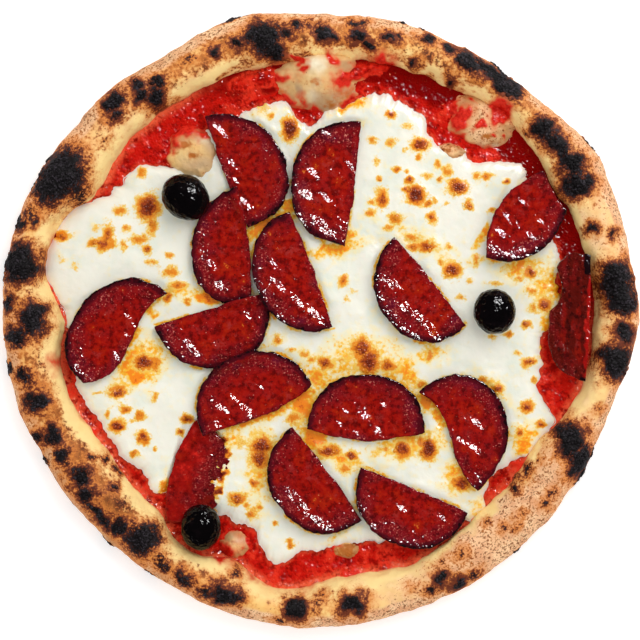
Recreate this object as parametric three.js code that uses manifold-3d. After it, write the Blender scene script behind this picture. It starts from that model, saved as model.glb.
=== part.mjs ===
// Chorizo pizza, whole and uncut, baked in the Neapolitan way, at its real size in millimetres.
//
// The pizza lies flat with +Z up. The middle of its outline is the origin and its underside is at
// z = 0. Angles are in degrees, counter-clockwise from +X seen from above. Each piece is a closed
// solid: the dough with its risen rim and bubbles, the tomato sauce, the melted mozzarella, the
// half slices of chorizo and the black olives.

import * as THREE from 'three';
import { mergeVertices } from 'three/addons/utils/BufferGeometryUtils.js';
import Module from 'manifold-3d';

const wasm = await Module();
wasm.setup();

// ---- Driving sizes, millimetres ----

const CLEARANCE = 0.3; // between pieces that touch
const SIDES = 96; // steps round the pizza

const DOUGH_TOP = 4.0; // thickness of the base under the sauce
const SAUCE_TOP = 5.9;
const CHEESE_TOP = 8.8;
const CHEESE_ROLL = 4.5; // width of the cheese's rounded edge
const CHEESE_EDGE_HEIGHT = 7.2; // top of the cheese where it ends
const CHEESE_WAVE = 0.35; // gentle unevenness of the melted cheese

const RIM_WIDEST_HEIGHT = 8.5; // height at which the rim bulges furthest
const RIM_FOOT_HEIGHT = 6.0; // where the rim's inner wall leaves the sauce
const RIM_UNDERCUT = 9.0; // how far the underside draws in before it lies flat
const RIM_CREST_PLACE = 0.52; // crest, as a share of the rim's width

// Radii of the rim and of the cheese, and heights of the rim's crest, evenly spaced round the pizza
const RIM_OUTER = [
  152.5, 151.5, 154.2, 149.2, 147.2, 147.5, 146.5, 150.2, 148, 149.3, 151.7, 152.8,
  152, 150.8, 147.7, 147, 146.2, 147.9, 147.6, 146, 145.7, 145, 145, 146.3,
];
const RIM_INNER = [
  131, 131.5, 131, 129.5, 130, 131, 127.5, 127.5, 126, 126, 124, 125,
  125, 125.5, 125.5, 123.5, 133.5, 134, 123.5, 127, 124.5, 120, 120, 121,
  127.5, 123, 130, 125.5, 122.5, 125, 123, 120, 119.5, 120, 127, 131,
];
const CHEESE_EDGE = [
  116, 113, 118, 118, 118, 106, 103, 111, 108, 100, 108, 106,
  107, 103, 116, 119, 129, 132, 121, 120, 119, 117, 112, 106,
  106, 105, 119, 110, 108, 113, 116, 118, 112, 118, 117, 107,
];
const RIM_CREST = [20, 19, 19.5, 18, 19.5, 21.5, 20.5, 19, 20, 18.5, 18, 19];

// Charred blisters that swell the rim: where they are, how wide and how high
const BLISTERS = [
  { angle: 4.5, radius: 144, size: 7, rise: 2.0 },
  { angle: 9, radius: 144, size: 7, rise: 1.8 },
  { angle: 33, radius: 142, size: 9, rise: 1.6 },
  { angle: 56, radius: 143, size: 9, rise: 1.4 },
  { angle: 101.5, radius: 137, size: 8, rise: 2.2 },
  { angle: 151, radius: 141, size: 11, rise: 3.0 },
  { angle: 169.5, radius: 146, size: 8, rise: 2.0 },
  { angle: 179, radius: 137, size: 7, rise: 1.4 },
  { angle: 197, radius: 142, size: 8, rise: 1.0 },
  { angle: 231, radius: 135, size: 8, rise: 1.5 },
  { angle: 251, radius: 138, size: 6, rise: 1.4 },
  { angle: 277, radius: 136, size: 6, rise: 1.4 },
  { angle: 333, radius: 138, size: 8, rise: 1.5 },
  { angle: 351, radius: 142, size: 8, rise: 2.0 },
];

// Dough bubbles that stand up through the sauce: half sizes, height of the top, turn
const BUBBLES = [
  { at: [-1, 112.5], half: [22, 11.5], top: 14, turn: 2 },
  { at: [76.6, 95.5], half: [17.5, 10.5], top: 13, turn: -14 },
  { at: [-60.7, 81], half: [12.5, 12.5], top: 10.5, turn: 0 },
  { at: [63, 81], half: [6.7, 4.3], top: 9.5, turn: -10 },
  { at: [12, -110.5], half: [7, 4], top: 9.5, turn: 0 },
  { at: [-41, -108], half: [6, 6], top: 10, turn: 0 },
];
const BUBBLE_ROOT = 2.5; // height of a bubble's widest part, inside the base
const BUBBLE_SOLE = 1.0; // height of a bubble's underside, inside the base

// Half slices of chorizo, in the order they were laid down. cut is the middle of the straight cut
// edge and faces is the way the round edge points from it. belly is how far the cut edge bows out,
// bend how much more it does so at one end, curl how far the round edge cups upwards, skew how far
// the round edge leans along the cut, and raise the lift of the cut edge and of the round edge. A
// fullness of 2 makes the round edge an ellipse's, and more makes it fuller. over names the slices it
// overlaps, and each bite is a round dent in the outline, with its radius.
const SLICE_THICKNESS = 2.6;
const SLICE_DEFAULTS = {
  belly: 0.8, bend: 0, curl: 1.8, skew: 0, fullness: 2.2, raise: [0, 0], over: [], sunk: false,
  bites: [],
};
const SLICES = [
  { name: 'chorizo_15', cut: [-67, -72], faces: -16.5, length: 50, depth: 23, belly: 4.5, curl: 0,
    sunk: true },
  { name: 'chorizo_01', cut: [-45, 71], faces: 21.5, length: 56.5, depth: 28, skew: -3.5, curl: 1.6 },
  { name: 'chorizo_02', cut: [15.5, 65], faces: 172.5, length: 60, depth: 29.5, curl: 2.0 },
  { name: 'chorizo_03', cut: [-36.5, 37], faces: -172.7, length: 54, depth: 26, belly: 2.3, skew: 5.5,
    over: ['chorizo_01'] },
  { name: 'chorizo_05', cut: [-52.5, 5], faces: -72.5, length: 55, depth: 28, curl: 1.6,
    over: ['chorizo_03'] },
  { name: 'chorizo_04', cut: [-4.5, 24.3], faces: -159.5, length: 59.5, depth: 27.5, curl: 2.0,
    over: ['chorizo_05'] },
  { name: 'chorizo_06', cut: [52.4, 18.6], faces: -141, length: 54.5, depth: 27.2, skew: 2.5,
    curl: 2.4 },
  { name: 'chorizo_07', cut: [92.4, 50.6], faces: -32, length: 49, depth: 22.3, belly: 8, skew: 5,
    raise: [3.5, 0.5], bites: [[145.3, 82, 40]] },
  { name: 'chorizo_08', cut: [127.3, 0.7], faces: 177.7, length: 59.5, depth: 18, belly: 1.2,
    curl: 0.5, skew: -3, fullness: 3.2, raise: [7.5, 0], bites: [[103.5, 15, 12]] },
  { name: 'chorizo_09', cut: [-93.5, -9], faces: 137, length: 59, depth: 26, belly: 3, bend: 10.5,
    curl: 2.4 },
  { name: 'chorizo_10', cut: [-30.4, -43.3], faces: 115.5, length: 57.4, depth: 28, belly: 3.3,
    bend: -2.5, over: ['chorizo_05'] },
  { name: 'chorizo_11', cut: [21.5, -53], faces: 88.5, length: 56.5, depth: 26.5, belly: 4.5 },
  { name: 'chorizo_12', cut: [61, -58], faces: 31, length: 55, depth: 30.8, belly: -1.7, bend: -6.8,
    skew: 5, curl: 2.2 },
  { name: 'chorizo_13', cut: [3, -73.5], faces: -143.5, length: 55.5, depth: 28, curl: 2.2 },
  { name: 'chorizo_14', cut: [45, -81.5], faces: -113, length: 55.5, depth: 27.5,
    over: ['chorizo_13'] },
].map((slice) => ({ ...SLICE_DEFAULTS, ...slice }));
const STACK_SLOPE = 0.8; // how steeply an upper slice comes down past the edge of a lower one
const PRESS_REACH = 12; // how far outside an upper slice the lower one's curl is held down

// Whole black olives: half sizes, turn, and height of the underside
const OLIVES = [
  { name: 'olive_1', at: [-64.5, 58.5], half: [12, 10.5, 9.3], turn: -45, bottom: 7.0 },
  { name: 'olive_2', at: [83, 4], half: [10.2, 11, 9.0], turn: 0, bottom: 7.0 },
  { name: 'olive_3', at: [-57, -99], half: [9.8, 11, 9.0], turn: 0, bottom: SAUCE_TOP + CLEARANCE },
];

// Colour, roughness of each material
const FINISHES = {
  dough: new THREE.MeshStandardMaterial({ color: '#d9a45e', roughness: 0.85, metalness: 0 }),
  sauce: new THREE.MeshStandardMaterial({ color: '#b8150d', roughness: 0.45, metalness: 0 }),
  cheese: new THREE.MeshStandardMaterial({ color: '#f3eddc', roughness: 0.4, metalness: 0 }),
  chorizo: new THREE.MeshStandardMaterial({ color: '#7a0f0c', roughness: 0.3, metalness: 0 }),
  olive: new THREE.MeshStandardMaterial({ color: '#141210', roughness: 0.2, metalness: 0 }),
};

// ---- Curves and heights ----

const radians = THREE.MathUtils.degToRad;
const FULL_TURN = 2 * Math.PI;

// Smooth closed curve through values that are evenly spaced round a circle
function roundCurve(values, angle) {
  const place = (angle / FULL_TURN) * values.length;
  const step = Math.floor(place);
  const t = place - step;
  const [a, b, c, d] = [-1, 0, 1, 2].map((k) => values.at((step + k) % values.length));
  const bend = t * (c - a + t * (2 * a - 5 * b + 4 * c - d + t * (3 * (b - c) + d - a)));
  return b + 0.5 * bend;
}

const outerRadius = (angle) => roundCurve(RIM_OUTER, angle);
const innerRadius = (angle) => roundCurve(RIM_INNER, angle);
const cheeseRadius = (angle) => Math.min(roundCurve(CHEESE_EDGE, angle), innerRadius(angle) - 1.2);

// Melted cheese lies in long, shallow waves
function cheeseTop(x, y) {
  const waves = Math.sin(x / 17 + 0.6) * Math.cos(y / 21) + 0.6 * Math.sin((x + y) / 29 + 1.3);
  return CHEESE_TOP + CHEESE_WAVE * waves;
}

function blisterRise(angle, radius) {
  let rise = 0;
  for (const blister of BLISTERS) {
    const away = new THREE.Vector2(
      radius - blister.radius * Math.cos(angle - radians(blister.angle)),
      blister.radius * Math.sin(angle - radians(blister.angle)),
    ).length();
    rise += blister.rise * Math.exp(-((away / blister.size) ** 2));
  }
  return rise;
}

// ---- Round layers ----

// Closed solid from a profile of [radius, height] points at each step round, from the top's middle
// out over the edge and back to the bottom's middle
function layerGeometry(topHeight, bottomHeight, profileAt) {
  const vertices = [0, 0, topHeight];
  const faces = [];
  let rows = 0;
  for (let side = 0; side < SIDES; side += 1) {
    const angle = (FULL_TURN * side) / SIDES;
    const profile = profileAt(angle);
    rows = profile.length;
    for (const [radius, height] of profile) {
      vertices.push(radius * Math.cos(angle), radius * Math.sin(angle), height);
    }
  }
  vertices.push(0, 0, bottomHeight);
  const last = 1 + SIDES * rows;
  const at = (side, row) => 1 + (side % SIDES) * rows + row;
  for (let side = 0; side < SIDES; side += 1) {
    faces.push(0, at(side, 0), at(side + 1, 0));
    for (let row = 0; row < rows - 1; row += 1) {
      faces.push(at(side, row), at(side, row + 1), at(side + 1, row + 1));
      faces.push(at(side, row), at(side + 1, row + 1), at(side + 1, row));
    }
    faces.push(last, at(side + 1, rows - 1), at(side, rows - 1));
  }
  return meshGeometry(vertices, faces);
}

function meshGeometry(vertices, faces) {
  const geometry = new THREE.BufferGeometry();
  geometry.setAttribute('position', new THREE.Float32BufferAttribute(vertices, 3));
  geometry.setIndex(faces);
  return geometry;
}

// Quarter turns of an ellipse, as shares of the way from one end to the other
const quarterSteps = (count) => Array.from({ length: count }, (_, k) => radians(90 * (k + 1) / count));

// Flat base, inner wall up from the sauce, over the crest, down to the bulge and in underneath
function doughProfile(angle) {
  const inner = innerRadius(angle);
  const outer = outerRadius(angle);
  const crestRadius = inner + RIM_CREST_PLACE * (outer - inner);
  const crest = roundCurve(RIM_CREST, angle);
  const profile = [[inner, DOUGH_TOP], [inner, RIM_FOOT_HEIGHT]];
  for (const turn of quarterSteps(4)) {
    const radius = crestRadius - (crestRadius - inner) * Math.cos(turn);
    const height = RIM_FOOT_HEIGHT + (crest - RIM_FOOT_HEIGHT) * Math.sin(turn);
    profile.push([radius, height + blisterRise(angle, radius)]);
  }
  for (const turn of quarterSteps(4)) {
    const radius = crestRadius + (outer - crestRadius) * Math.sin(turn);
    const height = RIM_WIDEST_HEIGHT + (crest - RIM_WIDEST_HEIGHT) * Math.cos(turn);
    profile.push([radius, height + blisterRise(angle, radius) * Math.cos(turn)]);
  }
  for (const turn of quarterSteps(3)) {
    const radius = outer - RIM_UNDERCUT * (1 - Math.cos(turn));
    profile.push([radius, RIM_WIDEST_HEIGHT * (1 - Math.sin(turn))]);
  }
  return profile;
}

function sauceProfile(angle) {
  const edge = innerRadius(angle) - CLEARANCE;
  return [[edge, SAUCE_TOP], [edge, DOUGH_TOP + CLEARANCE]];
}

function cheeseProfile(angle) {
  const edge = cheeseRadius(angle);
  const profile = [0.3, 0.6, 0.85].map((share) => share * (edge - CHEESE_ROLL));
  profile.push(edge - CHEESE_ROLL);
  const points = profile.map((radius) => [
    radius,
    cheeseTop(radius * Math.cos(angle), radius * Math.sin(angle)),
  ]);
  points.push([edge, CHEESE_EDGE_HEIGHT], [edge - 0.5, SAUCE_TOP + CLEARANCE]);
  return points;
}

// ---- Chorizo ----

// Place of a point in a slice's own frame: along the cut edge, and out from it to the round edge
function inSlice(slice, x, y) {
  const turn = radians(slice.faces);
  const [dx, dy] = [x - slice.cut[0], y - slice.cut[1]];
  const out = dx * Math.cos(turn) + dy * Math.sin(turn);
  const lean = (slice.skew * Math.max(out, 0)) / slice.depth;
  return { along: -dx * Math.sin(turn) + dy * Math.cos(turn) - lean, out };
}

// How far out a place of the slice is: 0 at the middle of the cut edge, 1 on the round edge
function reachOf(slice, along, out) {
  const shares = [(2 * along) / slice.length, Math.max(out, 0) / slice.depth];
  const sum = shares.reduce((total, share) => total + Math.abs(share) ** slice.fullness, 0);
  return sum ** (1 / slice.fullness);
}

function fromSlice(slice, along, out) {
  const turn = radians(slice.faces);
  const leaned = along + (slice.skew * Math.max(out, 0)) / slice.depth;
  return [
    slice.cut[0] + out * Math.cos(turn) - leaned * Math.sin(turn),
    slice.cut[1] + out * Math.sin(turn) + leaned * Math.cos(turn),
  ];
}

// How free a slice is to cup upwards: not at all under a slice that lies on it
function freeToCurl(slice, x, y) {
  return SLICES.filter((other) => other.over.includes(slice.name)).reduce(
    (freedom, upper) => freedom * Math.min(1, outsideSlice(upper, x, y) / PRESS_REACH),
    1,
  );
}

// Height of a slice's underside: on the cheese or sauce, over earlier slices, cupped and tilted
function sliceUnderside(slice, x, y) {
  const { along, out } = inSlice(slice, x, y);
  const reach = Math.min(1, reachOf(slice, along, out));
  const [atCut, atRound] = slice.raise;
  const tilt = THREE.MathUtils.lerp(atCut, atRound, THREE.MathUtils.clamp(out / slice.depth, 0, 1));
  let ground = slice.sunk ? SAUCE_TOP : cheeseTop(x, y);
  for (const name of slice.over) {
    const lower = SLICES.find((other) => other.name === name);
    const drop = STACK_SLOPE * outsideSlice(lower, x, y);
    ground = Math.max(ground, sliceUnderside(lower, x, y) + SLICE_THICKNESS - drop);
  }
  return ground + CLEARANCE + slice.curl * reach ** 3 * freeToCurl(slice, x, y) + tilt;
}

// Distance from a slice's edge, zero inside it
function outsideSlice(slice, x, y) {
  const { along, out } = inSlice(slice, x, y);
  if (out < 0) return Math.max(0, -out - slice.belly, Math.abs(along) - slice.length / 2);
  return Math.max(0, reachOf(slice, along, out) - 1) * slice.depth;
}

// Nearest place, towards the slice's middle, that is outside its bites
function bitten(slice, [x, y], grow) {
  const [middleX, middleY] = sliceMiddle(slice);
  const length = Math.hypot(x - middleX, y - middleY);
  const [wayX, wayY] = [(x - middleX) / length, (y - middleY) / length];
  let reach = length;
  for (const [biteX, biteY, radius] of slice.bites) {
    const [dx, dy] = [biteX - middleX, biteY - middleY];
    const near = dx * wayX + dy * wayY;
    const inside = near ** 2 - dx ** 2 - dy ** 2 + (radius - grow) ** 2;
    if (near > 0 && inside > 0) reach = Math.min(reach, near - Math.sqrt(inside));
  }
  return [middleX + wayX * reach, middleY + wayY * reach];
}

// Outline of a slice, counter-clockwise: the round edge from tip to tip, then the bowed cut edge
const ROUND_STEPS = 10;
const CUT_STEPS = 5;
const fuller = (value, fullness) => Math.sign(value) * Math.abs(value) ** (2 / fullness);
const sliceMiddle = (slice) => fromSlice(slice, 0, 0.4 * slice.depth);
function sliceOutline(slice, grow) {
  const half = slice.length / 2 + grow;
  const outline = [];
  for (let k = 0; k <= ROUND_STEPS; k += 1) {
    const turn = (Math.PI * k) / ROUND_STEPS - Math.PI / 2;
    const out = (slice.depth + grow) * fuller(Math.cos(turn), slice.fullness);
    outline.push(fromSlice(slice, half * fuller(Math.sin(turn), slice.fullness), out));
  }
  for (let k = 1; k < CUT_STEPS; k += 1) {
    const share = 1 - (2 * k) / CUT_STEPS;
    const bow = slice.belly + slice.bend * share + grow;
    outline.push(fromSlice(slice, half * share, -bow * (1 - share ** 2)));
  }
  return outline.map((place) => bitten(slice, place, grow));
}

// Closed sheet over a slice's outline, in rings that widen from a point inside it
const SLICE_RINGS = [0.45, 0.78, 1];
function sheetGeometry(slice, underside, topside, grow = 0) {
  const outline = sliceOutline(slice, grow);
  const middle = sliceMiddle(slice);
  const count = outline.length;
  const points = [middle];
  for (const share of SLICE_RINGS) {
    for (const [x, y] of outline) {
      points.push([middle[0] + share * (x - middle[0]), middle[1] + share * (y - middle[1])]);
    }
  }
  const vertices = [];
  for (const [x, y] of points) vertices.push(x, y, topside(x, y));
  for (const [x, y] of points) vertices.push(x, y, underside(x, y));
  const faces = [];
  const both = (a, b, c) => {
    faces.push(a, b, c);
    faces.push(points.length + a, points.length + c, points.length + b);
  };
  for (let k = 0; k < count; k += 1) {
    const next = (k + 1) % count;
    both(0, 1 + k, 1 + next);
    for (let ring = 1; ring < SLICE_RINGS.length; ring += 1) {
      const [inner, outer] = [1 + (ring - 1) * count, 1 + ring * count];
      both(inner + k, outer + k, outer + next);
      both(inner + k, outer + next, inner + next);
    }
    const rim = 1 + (SLICE_RINGS.length - 1) * count;
    faces.push(rim + k, points.length + rim + k, points.length + rim + next);
    faces.push(rim + k, points.length + rim + next, rim + next);
  }
  return meshGeometry(vertices, faces);
}

function sliceGeometry(slice) {
  const underside = (x, y) => sliceUnderside(slice, x, y);
  return sheetGeometry(slice, underside, (x, y) => underside(x, y) + SLICE_THICKNESS);
}

// Upright block over a slice's outline, a little larger, that clears room for a sunk slice
function slicePocket(slice) {
  return sheetGeometry(slice, () => DOUGH_TOP, () => 2 * CHEESE_TOP, 1.5 * CLEARANCE);
}

// ---- Olives and bubbles ----

function ellipsoid([halfX, halfY, halfZ], [x, y], z, turn, [around, down]) {
  const geometry = new THREE.SphereGeometry(1, around, down).rotateX(Math.PI / 2);
  return geometry.scale(halfX, halfY, halfZ).rotateZ(radians(turn)).translate(x, y, z);
}

function oliveGeometry(olive, grow = 0) {
  const half = olive.half.map((size) => size + grow);
  return ellipsoid(half, olive.at, olive.bottom + olive.half[2], olive.turn, [16, 10]);
}

// Dome with a flattened lower half that stays inside the base
function bubbleGeometry(bubble, grow = 0) {
  const half = [...bubble.half, bubble.top - BUBBLE_ROOT].map((size) => size + grow);
  const dome = ellipsoid(half, bubble.at, BUBBLE_ROOT, bubble.turn, [14, 8]);
  const place = dome.attributes.position;
  const flatten = (BUBBLE_ROOT - BUBBLE_SOLE) / half[2];
  for (let k = 0; k < place.count; k += 1) {
    const below = Math.min(0, place.getZ(k) - BUBBLE_ROOT);
    place.setZ(k, place.getZ(k) - below * (1 - flatten));
  }
  return dome;
}

// ---- Joining and cutting ----

function toSolid(geometry) {
  const bare = geometry.clone();
  bare.deleteAttribute('normal');
  bare.deleteAttribute('uv');
  const merged = mergeVertices(bare, 1e-4);
  return new wasm.Manifold(new wasm.Mesh({
    numProp: 3,
    vertProperties: merged.attributes.position.array,
    triVerts: Uint32Array.from(merged.index.array),
  }));
}

function toGeometry(solid) {
  const mesh = solid.getMesh();
  return meshGeometry(mesh.vertProperties, [...mesh.triVerts]);
}

const cutAway = (geometry, tools) => toGeometry(
  tools.reduce((solid, tool) => solid.subtract(toSolid(tool)), toSolid(geometry)),
);
const joinAll = (geometry, others) => toGeometry(
  others.reduce((solid, other) => solid.add(toSolid(other)), toSolid(geometry)),
);

// ---- The pieces ----

const bubbles = BUBBLES.map((bubble) => bubbleGeometry(bubble));
const bubblePockets = BUBBLES.map((bubble) => bubbleGeometry(bubble, CLEARANCE));
const olivePockets = OLIVES.map((olive) => oliveGeometry(olive, CLEARANCE));
const sunkPockets = SLICES.filter((slice) => slice.sunk).map(slicePocket);

const pizza = new THREE.Group();

function addPiece(name, geometry, finish) {
  const mesh = new THREE.Mesh(geometry, finish.clone());
  mesh.name = name;
  pizza.add(mesh);
}

const base = layerGeometry(DOUGH_TOP, 0, doughProfile);
addPiece('dough', joinAll(base, bubbles), FINISHES.dough);

const sauce = layerGeometry(SAUCE_TOP, DOUGH_TOP + CLEARANCE, sauceProfile);
addPiece('tomato_sauce', cutAway(sauce, bubblePockets), FINISHES.sauce);

const cheese = layerGeometry(cheeseTop(0, 0), SAUCE_TOP + CLEARANCE, cheeseProfile);
const cheesePockets = [...bubblePockets, ...olivePockets, ...sunkPockets];
addPiece('mozzarella', cutAway(cheese, cheesePockets), FINISHES.cheese);

// A slice gives way to the olives and bubbles it meets, and to the slices that lie on it
for (const slice of SLICES) {
  const above = SLICES.filter((other) => other.over.includes(slice.name));
  const pressing = above.map((other) => sliceGeometry(other).translate(0, 0, -CLEARANCE));
  const pockets = [...olivePockets, ...bubblePockets, ...pressing];
  addPiece(slice.name, cutAway(sliceGeometry(slice), pockets), FINISHES.chorizo);
}

for (const olive of OLIVES) addPiece(olive.name, oliveGeometry(olive), FINISHES.olive);

// The outline's middle goes to the origin
const outline = new THREE.Box3().setFromObject(pizza.getObjectByName('dough'));
const middle = outline.getCenter(new THREE.Vector3());
pizza.position.set(-middle.x, -middle.y, 0);

export default pizza;
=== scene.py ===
"""Chorizo pizza, whole and uncut, as it comes out of a wood oven.

Lengths are millimetres from the photo's middle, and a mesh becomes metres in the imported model's
frame when it is made. Angles run counter-clockwise from +X seen from above: the listed ones are
degrees, and the arrays that the functions pass on are radians.
"""

import itertools
import math

import bpy
import numpy as np
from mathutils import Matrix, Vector


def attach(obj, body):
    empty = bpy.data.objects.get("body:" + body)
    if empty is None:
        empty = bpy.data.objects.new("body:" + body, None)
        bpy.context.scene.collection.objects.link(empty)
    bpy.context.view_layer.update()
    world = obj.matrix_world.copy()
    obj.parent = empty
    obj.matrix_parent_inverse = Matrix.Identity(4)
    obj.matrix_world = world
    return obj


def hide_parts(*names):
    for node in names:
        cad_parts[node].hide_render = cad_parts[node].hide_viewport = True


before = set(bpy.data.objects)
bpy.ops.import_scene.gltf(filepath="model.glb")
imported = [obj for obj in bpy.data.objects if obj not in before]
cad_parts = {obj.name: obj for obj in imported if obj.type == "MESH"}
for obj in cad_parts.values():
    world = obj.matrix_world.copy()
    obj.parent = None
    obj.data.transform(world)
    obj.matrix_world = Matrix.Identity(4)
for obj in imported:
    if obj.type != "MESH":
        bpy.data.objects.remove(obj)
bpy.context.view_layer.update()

MM = 0.001
TAU = 2 * math.pi

# ---- Sizes that the solids have too ----

CLEARANCE = 0.3
SIDES = 96
DOUGH_TOP = 4.0
SAUCE_TOP = 5.9
CHEESE_TOP = 8.8
CHEESE_ROLL = 4.5
CHEESE_EDGE_HEIGHT = 7.2
CHEESE_WAVE = 0.35
RIM_WIDEST_HEIGHT = 8.5
RIM_FOOT_HEIGHT = 6.0
RIM_UNDERCUT = 9.0
RIM_CREST_PLACE = 0.52

# Radii of the rim and heights of its crest, evenly spaced round the pizza
RIM_OUTER = [
    152.5, 151.5, 154.2, 149.2, 147.2, 147.5, 146.5, 150.2, 148, 149.3, 151.7, 152.8,
    152, 150.8, 147.7, 147, 146.2, 147.9, 147.6, 146, 145.7, 145, 145, 146.3,
]
RIM_INNER = [
    131, 131.5, 131, 129.5, 130, 131, 127.5, 127.5, 126, 126, 124, 125,
    125, 125.5, 125.5, 123.5, 133.5, 134, 123.5, 127, 124.5, 120, 120, 121,
    127.5, 123, 130, 125.5, 122.5, 125, 123, 120, 119.5, 120, 127, 131,
]
RIM_CREST = [20, 19, 19.5, 18, 19.5, 21.5, 20.5, 19, 20, 18.5, 18, 19]

# Where the melted cheese ends: angle, radius
CHEESE_EDGE = [
    (0, 116), (5, 116), (10, 113), (14, 119), (25, 118), (33, 118), (36, 123), (38, 122.5),
    (40, 118), (43, 112), (45, 106), (50, 106), (55, 102), (58, 101), (62, 107), (64, 111),
    (70, 111), (72, 114), (75, 114), (80, 108), (85, 102), (90, 100), (91, 94), (93, 92),
    (95, 94), (97, 98), (99, 107), (100, 109), (103, 107), (112, 106), (130, 106), (133, 102),
    (135, 103), (137, 106), (138, 115), (145, 116), (148, 117), (151, 120.5), (153, 125),
    (157, 132), (160, 135), (162, 132), (165, 137), (170, 137), (173, 132), (176, 127),
    (180, 122.5), (182, 120.5), (195, 120),
    (200, 119), (205, 117), (210, 117), (215, 115), (218, 113), (222, 112), (226, 116),
    (228, 113), (229, 108), (233, 105), (253, 104.5), (255, 113), (258, 118), (260, 119.5),
    (262, 117), (265, 112), (270, 110), (280, 108), (285, 111), (303, 114), (307, 122),
    (311, 122), (313, 114), (316, 111.5), (321, 112), (323.5, 115), (327, 118.5), (331, 122),
    (338, 123), (340, 113), (343, 109.5), (346, 110), (350, 107), (355, 106), (358, 108),
]

# Charred blisters that swell the rim: angle, radius, size, rise
BLISTERS = [
    (4.5, 144, 7, 2.0), (9, 144, 7, 1.8), (33, 142, 9, 1.6), (56, 143, 9, 1.4),
    (101.5, 137, 8, 2.2), (151, 141, 11, 3.0), (169.5, 146, 8, 2.0), (179, 137, 7, 1.4),
    (197, 142, 8, 1.0), (231, 135, 8, 1.5), (251, 138, 6, 1.4), (277, 136, 6, 1.4),
    (333, 138, 8, 1.5), (351, 142, 8, 2.0),
]

# Dough bubbles that stand up through the sauce: middle, half sizes, top, turn
BUBBLES = [
    ((-1, 112.5), (22, 11.5), 14, 2),
    ((76.6, 95.5), (17.5, 10.5), 13, -14),
    ((-60.7, 81), (12.5, 12.5), 10.5, 0),
    ((63, 81), (6.7, 4.3), 9.5, -10),
    ((12, -110.5), (7, 4), 9.5, 0),
    ((-41, -108), (6, 6), 10, 0),
]
BUBBLE_ROOT = 2.5
BUBBLE_SOLE = 1.0

# Half slices of chorizo in the order they were laid down: name, middle of the cut edge, the way the
# round edge points from it, length, depth, and what sets the slice apart. The cut edge bows out by
# belly and more at one end by bend, the round edge cups up by curl and leans along the cut by skew,
# lift raises the cut edge and the round edge, and a bite is a round dent: its middle and its radius.
# A fullness of 2 makes the round edge an ellipse's, and more makes it fuller.
SLICE_THICKNESS = 2.6
SLICE_DEFAULTS = {
    "belly": 0.8, "bend": 0, "curl": 1.8, "skew": 0, "fullness": 2.2, "lift": (0, 0), "over": (),
    "sunk": False, "bites": (),
}
SLICES = [
    {**SLICE_DEFAULTS, **extra, "name": name, "cut": cut, "faces": faces, "length": length, "depth": depth}
    for name, cut, faces, length, depth, extra in [
        ("chorizo_15", (-67, -72), -16.5, 50, 23, {"belly": 4.5, "curl": 0, "sunk": True}),
        ("chorizo_01", (-45, 71), 21.5, 56.5, 28, {"skew": -3.5, "curl": 1.6}),
        ("chorizo_02", (15.5, 65), 172.5, 60, 29.5, {"curl": 2.0}),
        ("chorizo_03", (-36.5, 37), -172.7, 54, 26, {"belly": 2.3, "skew": 5.5, "over": ("chorizo_01",)}),
        ("chorizo_05", (-52.5, 5), -72.5, 55, 28, {"curl": 1.6, "over": ("chorizo_03",)}),
        ("chorizo_04", (-4.5, 24.3), -159.5, 59.5, 27.5, {"curl": 2.0, "over": ("chorizo_05",)}),
        ("chorizo_06", (52.4, 18.6), -141, 54.5, 27.2, {"skew": 2.5, "curl": 2.4}),
        ("chorizo_07", (92.4, 50.6), -32, 49, 22.3,
         {"belly": 8, "skew": 5, "lift": (3.5, 0.5), "bites": [((145.3, 82), 40)]}),
        ("chorizo_08", (127.3, 0.7), 177.7, 59.5, 18,
         {"belly": 1.2, "curl": 0.5, "skew": -3, "fullness": 3.2, "lift": (7.5, 0),
          "bites": [((103.5, 15), 12)]}),
        ("chorizo_09", (-93.5, -9), 137, 59, 26, {"belly": 3, "bend": 10.5, "curl": 2.4}),
        ("chorizo_10", (-30.4, -43.3), 115.5, 57.4, 28,
         {"belly": 3.3, "bend": -2.5, "over": ("chorizo_05",)}),
        ("chorizo_11", (21.5, -53), 88.5, 56.5, 26.5, {"belly": 4.5}),
        ("chorizo_12", (61, -58), 31, 55, 30.8, {"belly": -1.7, "bend": -6.8, "skew": 5, "curl": 2.2}),
        ("chorizo_13", (3, -73.5), -143.5, 55.5, 28, {"curl": 2.2}),
        ("chorizo_14", (45, -81.5), -113, 55.5, 27.5, {"over": ("chorizo_13",)}),
    ]
]
STACK_SLOPE = 0.8
PRESS_REACH = 12

# Whole black olives: middle, half sizes, turn, height of the underside
OLIVES = {
    "olive_1": ((-64.5, 58.5), (12, 10.5, 9.3), -45, 7.0),
    "olive_2": ((83, 4), (10.2, 11, 9.0), 0, 7.0),
    "olive_3": ((-57, -99), (9.8, 11, 9.0), 0, 6.2),
}
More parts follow.
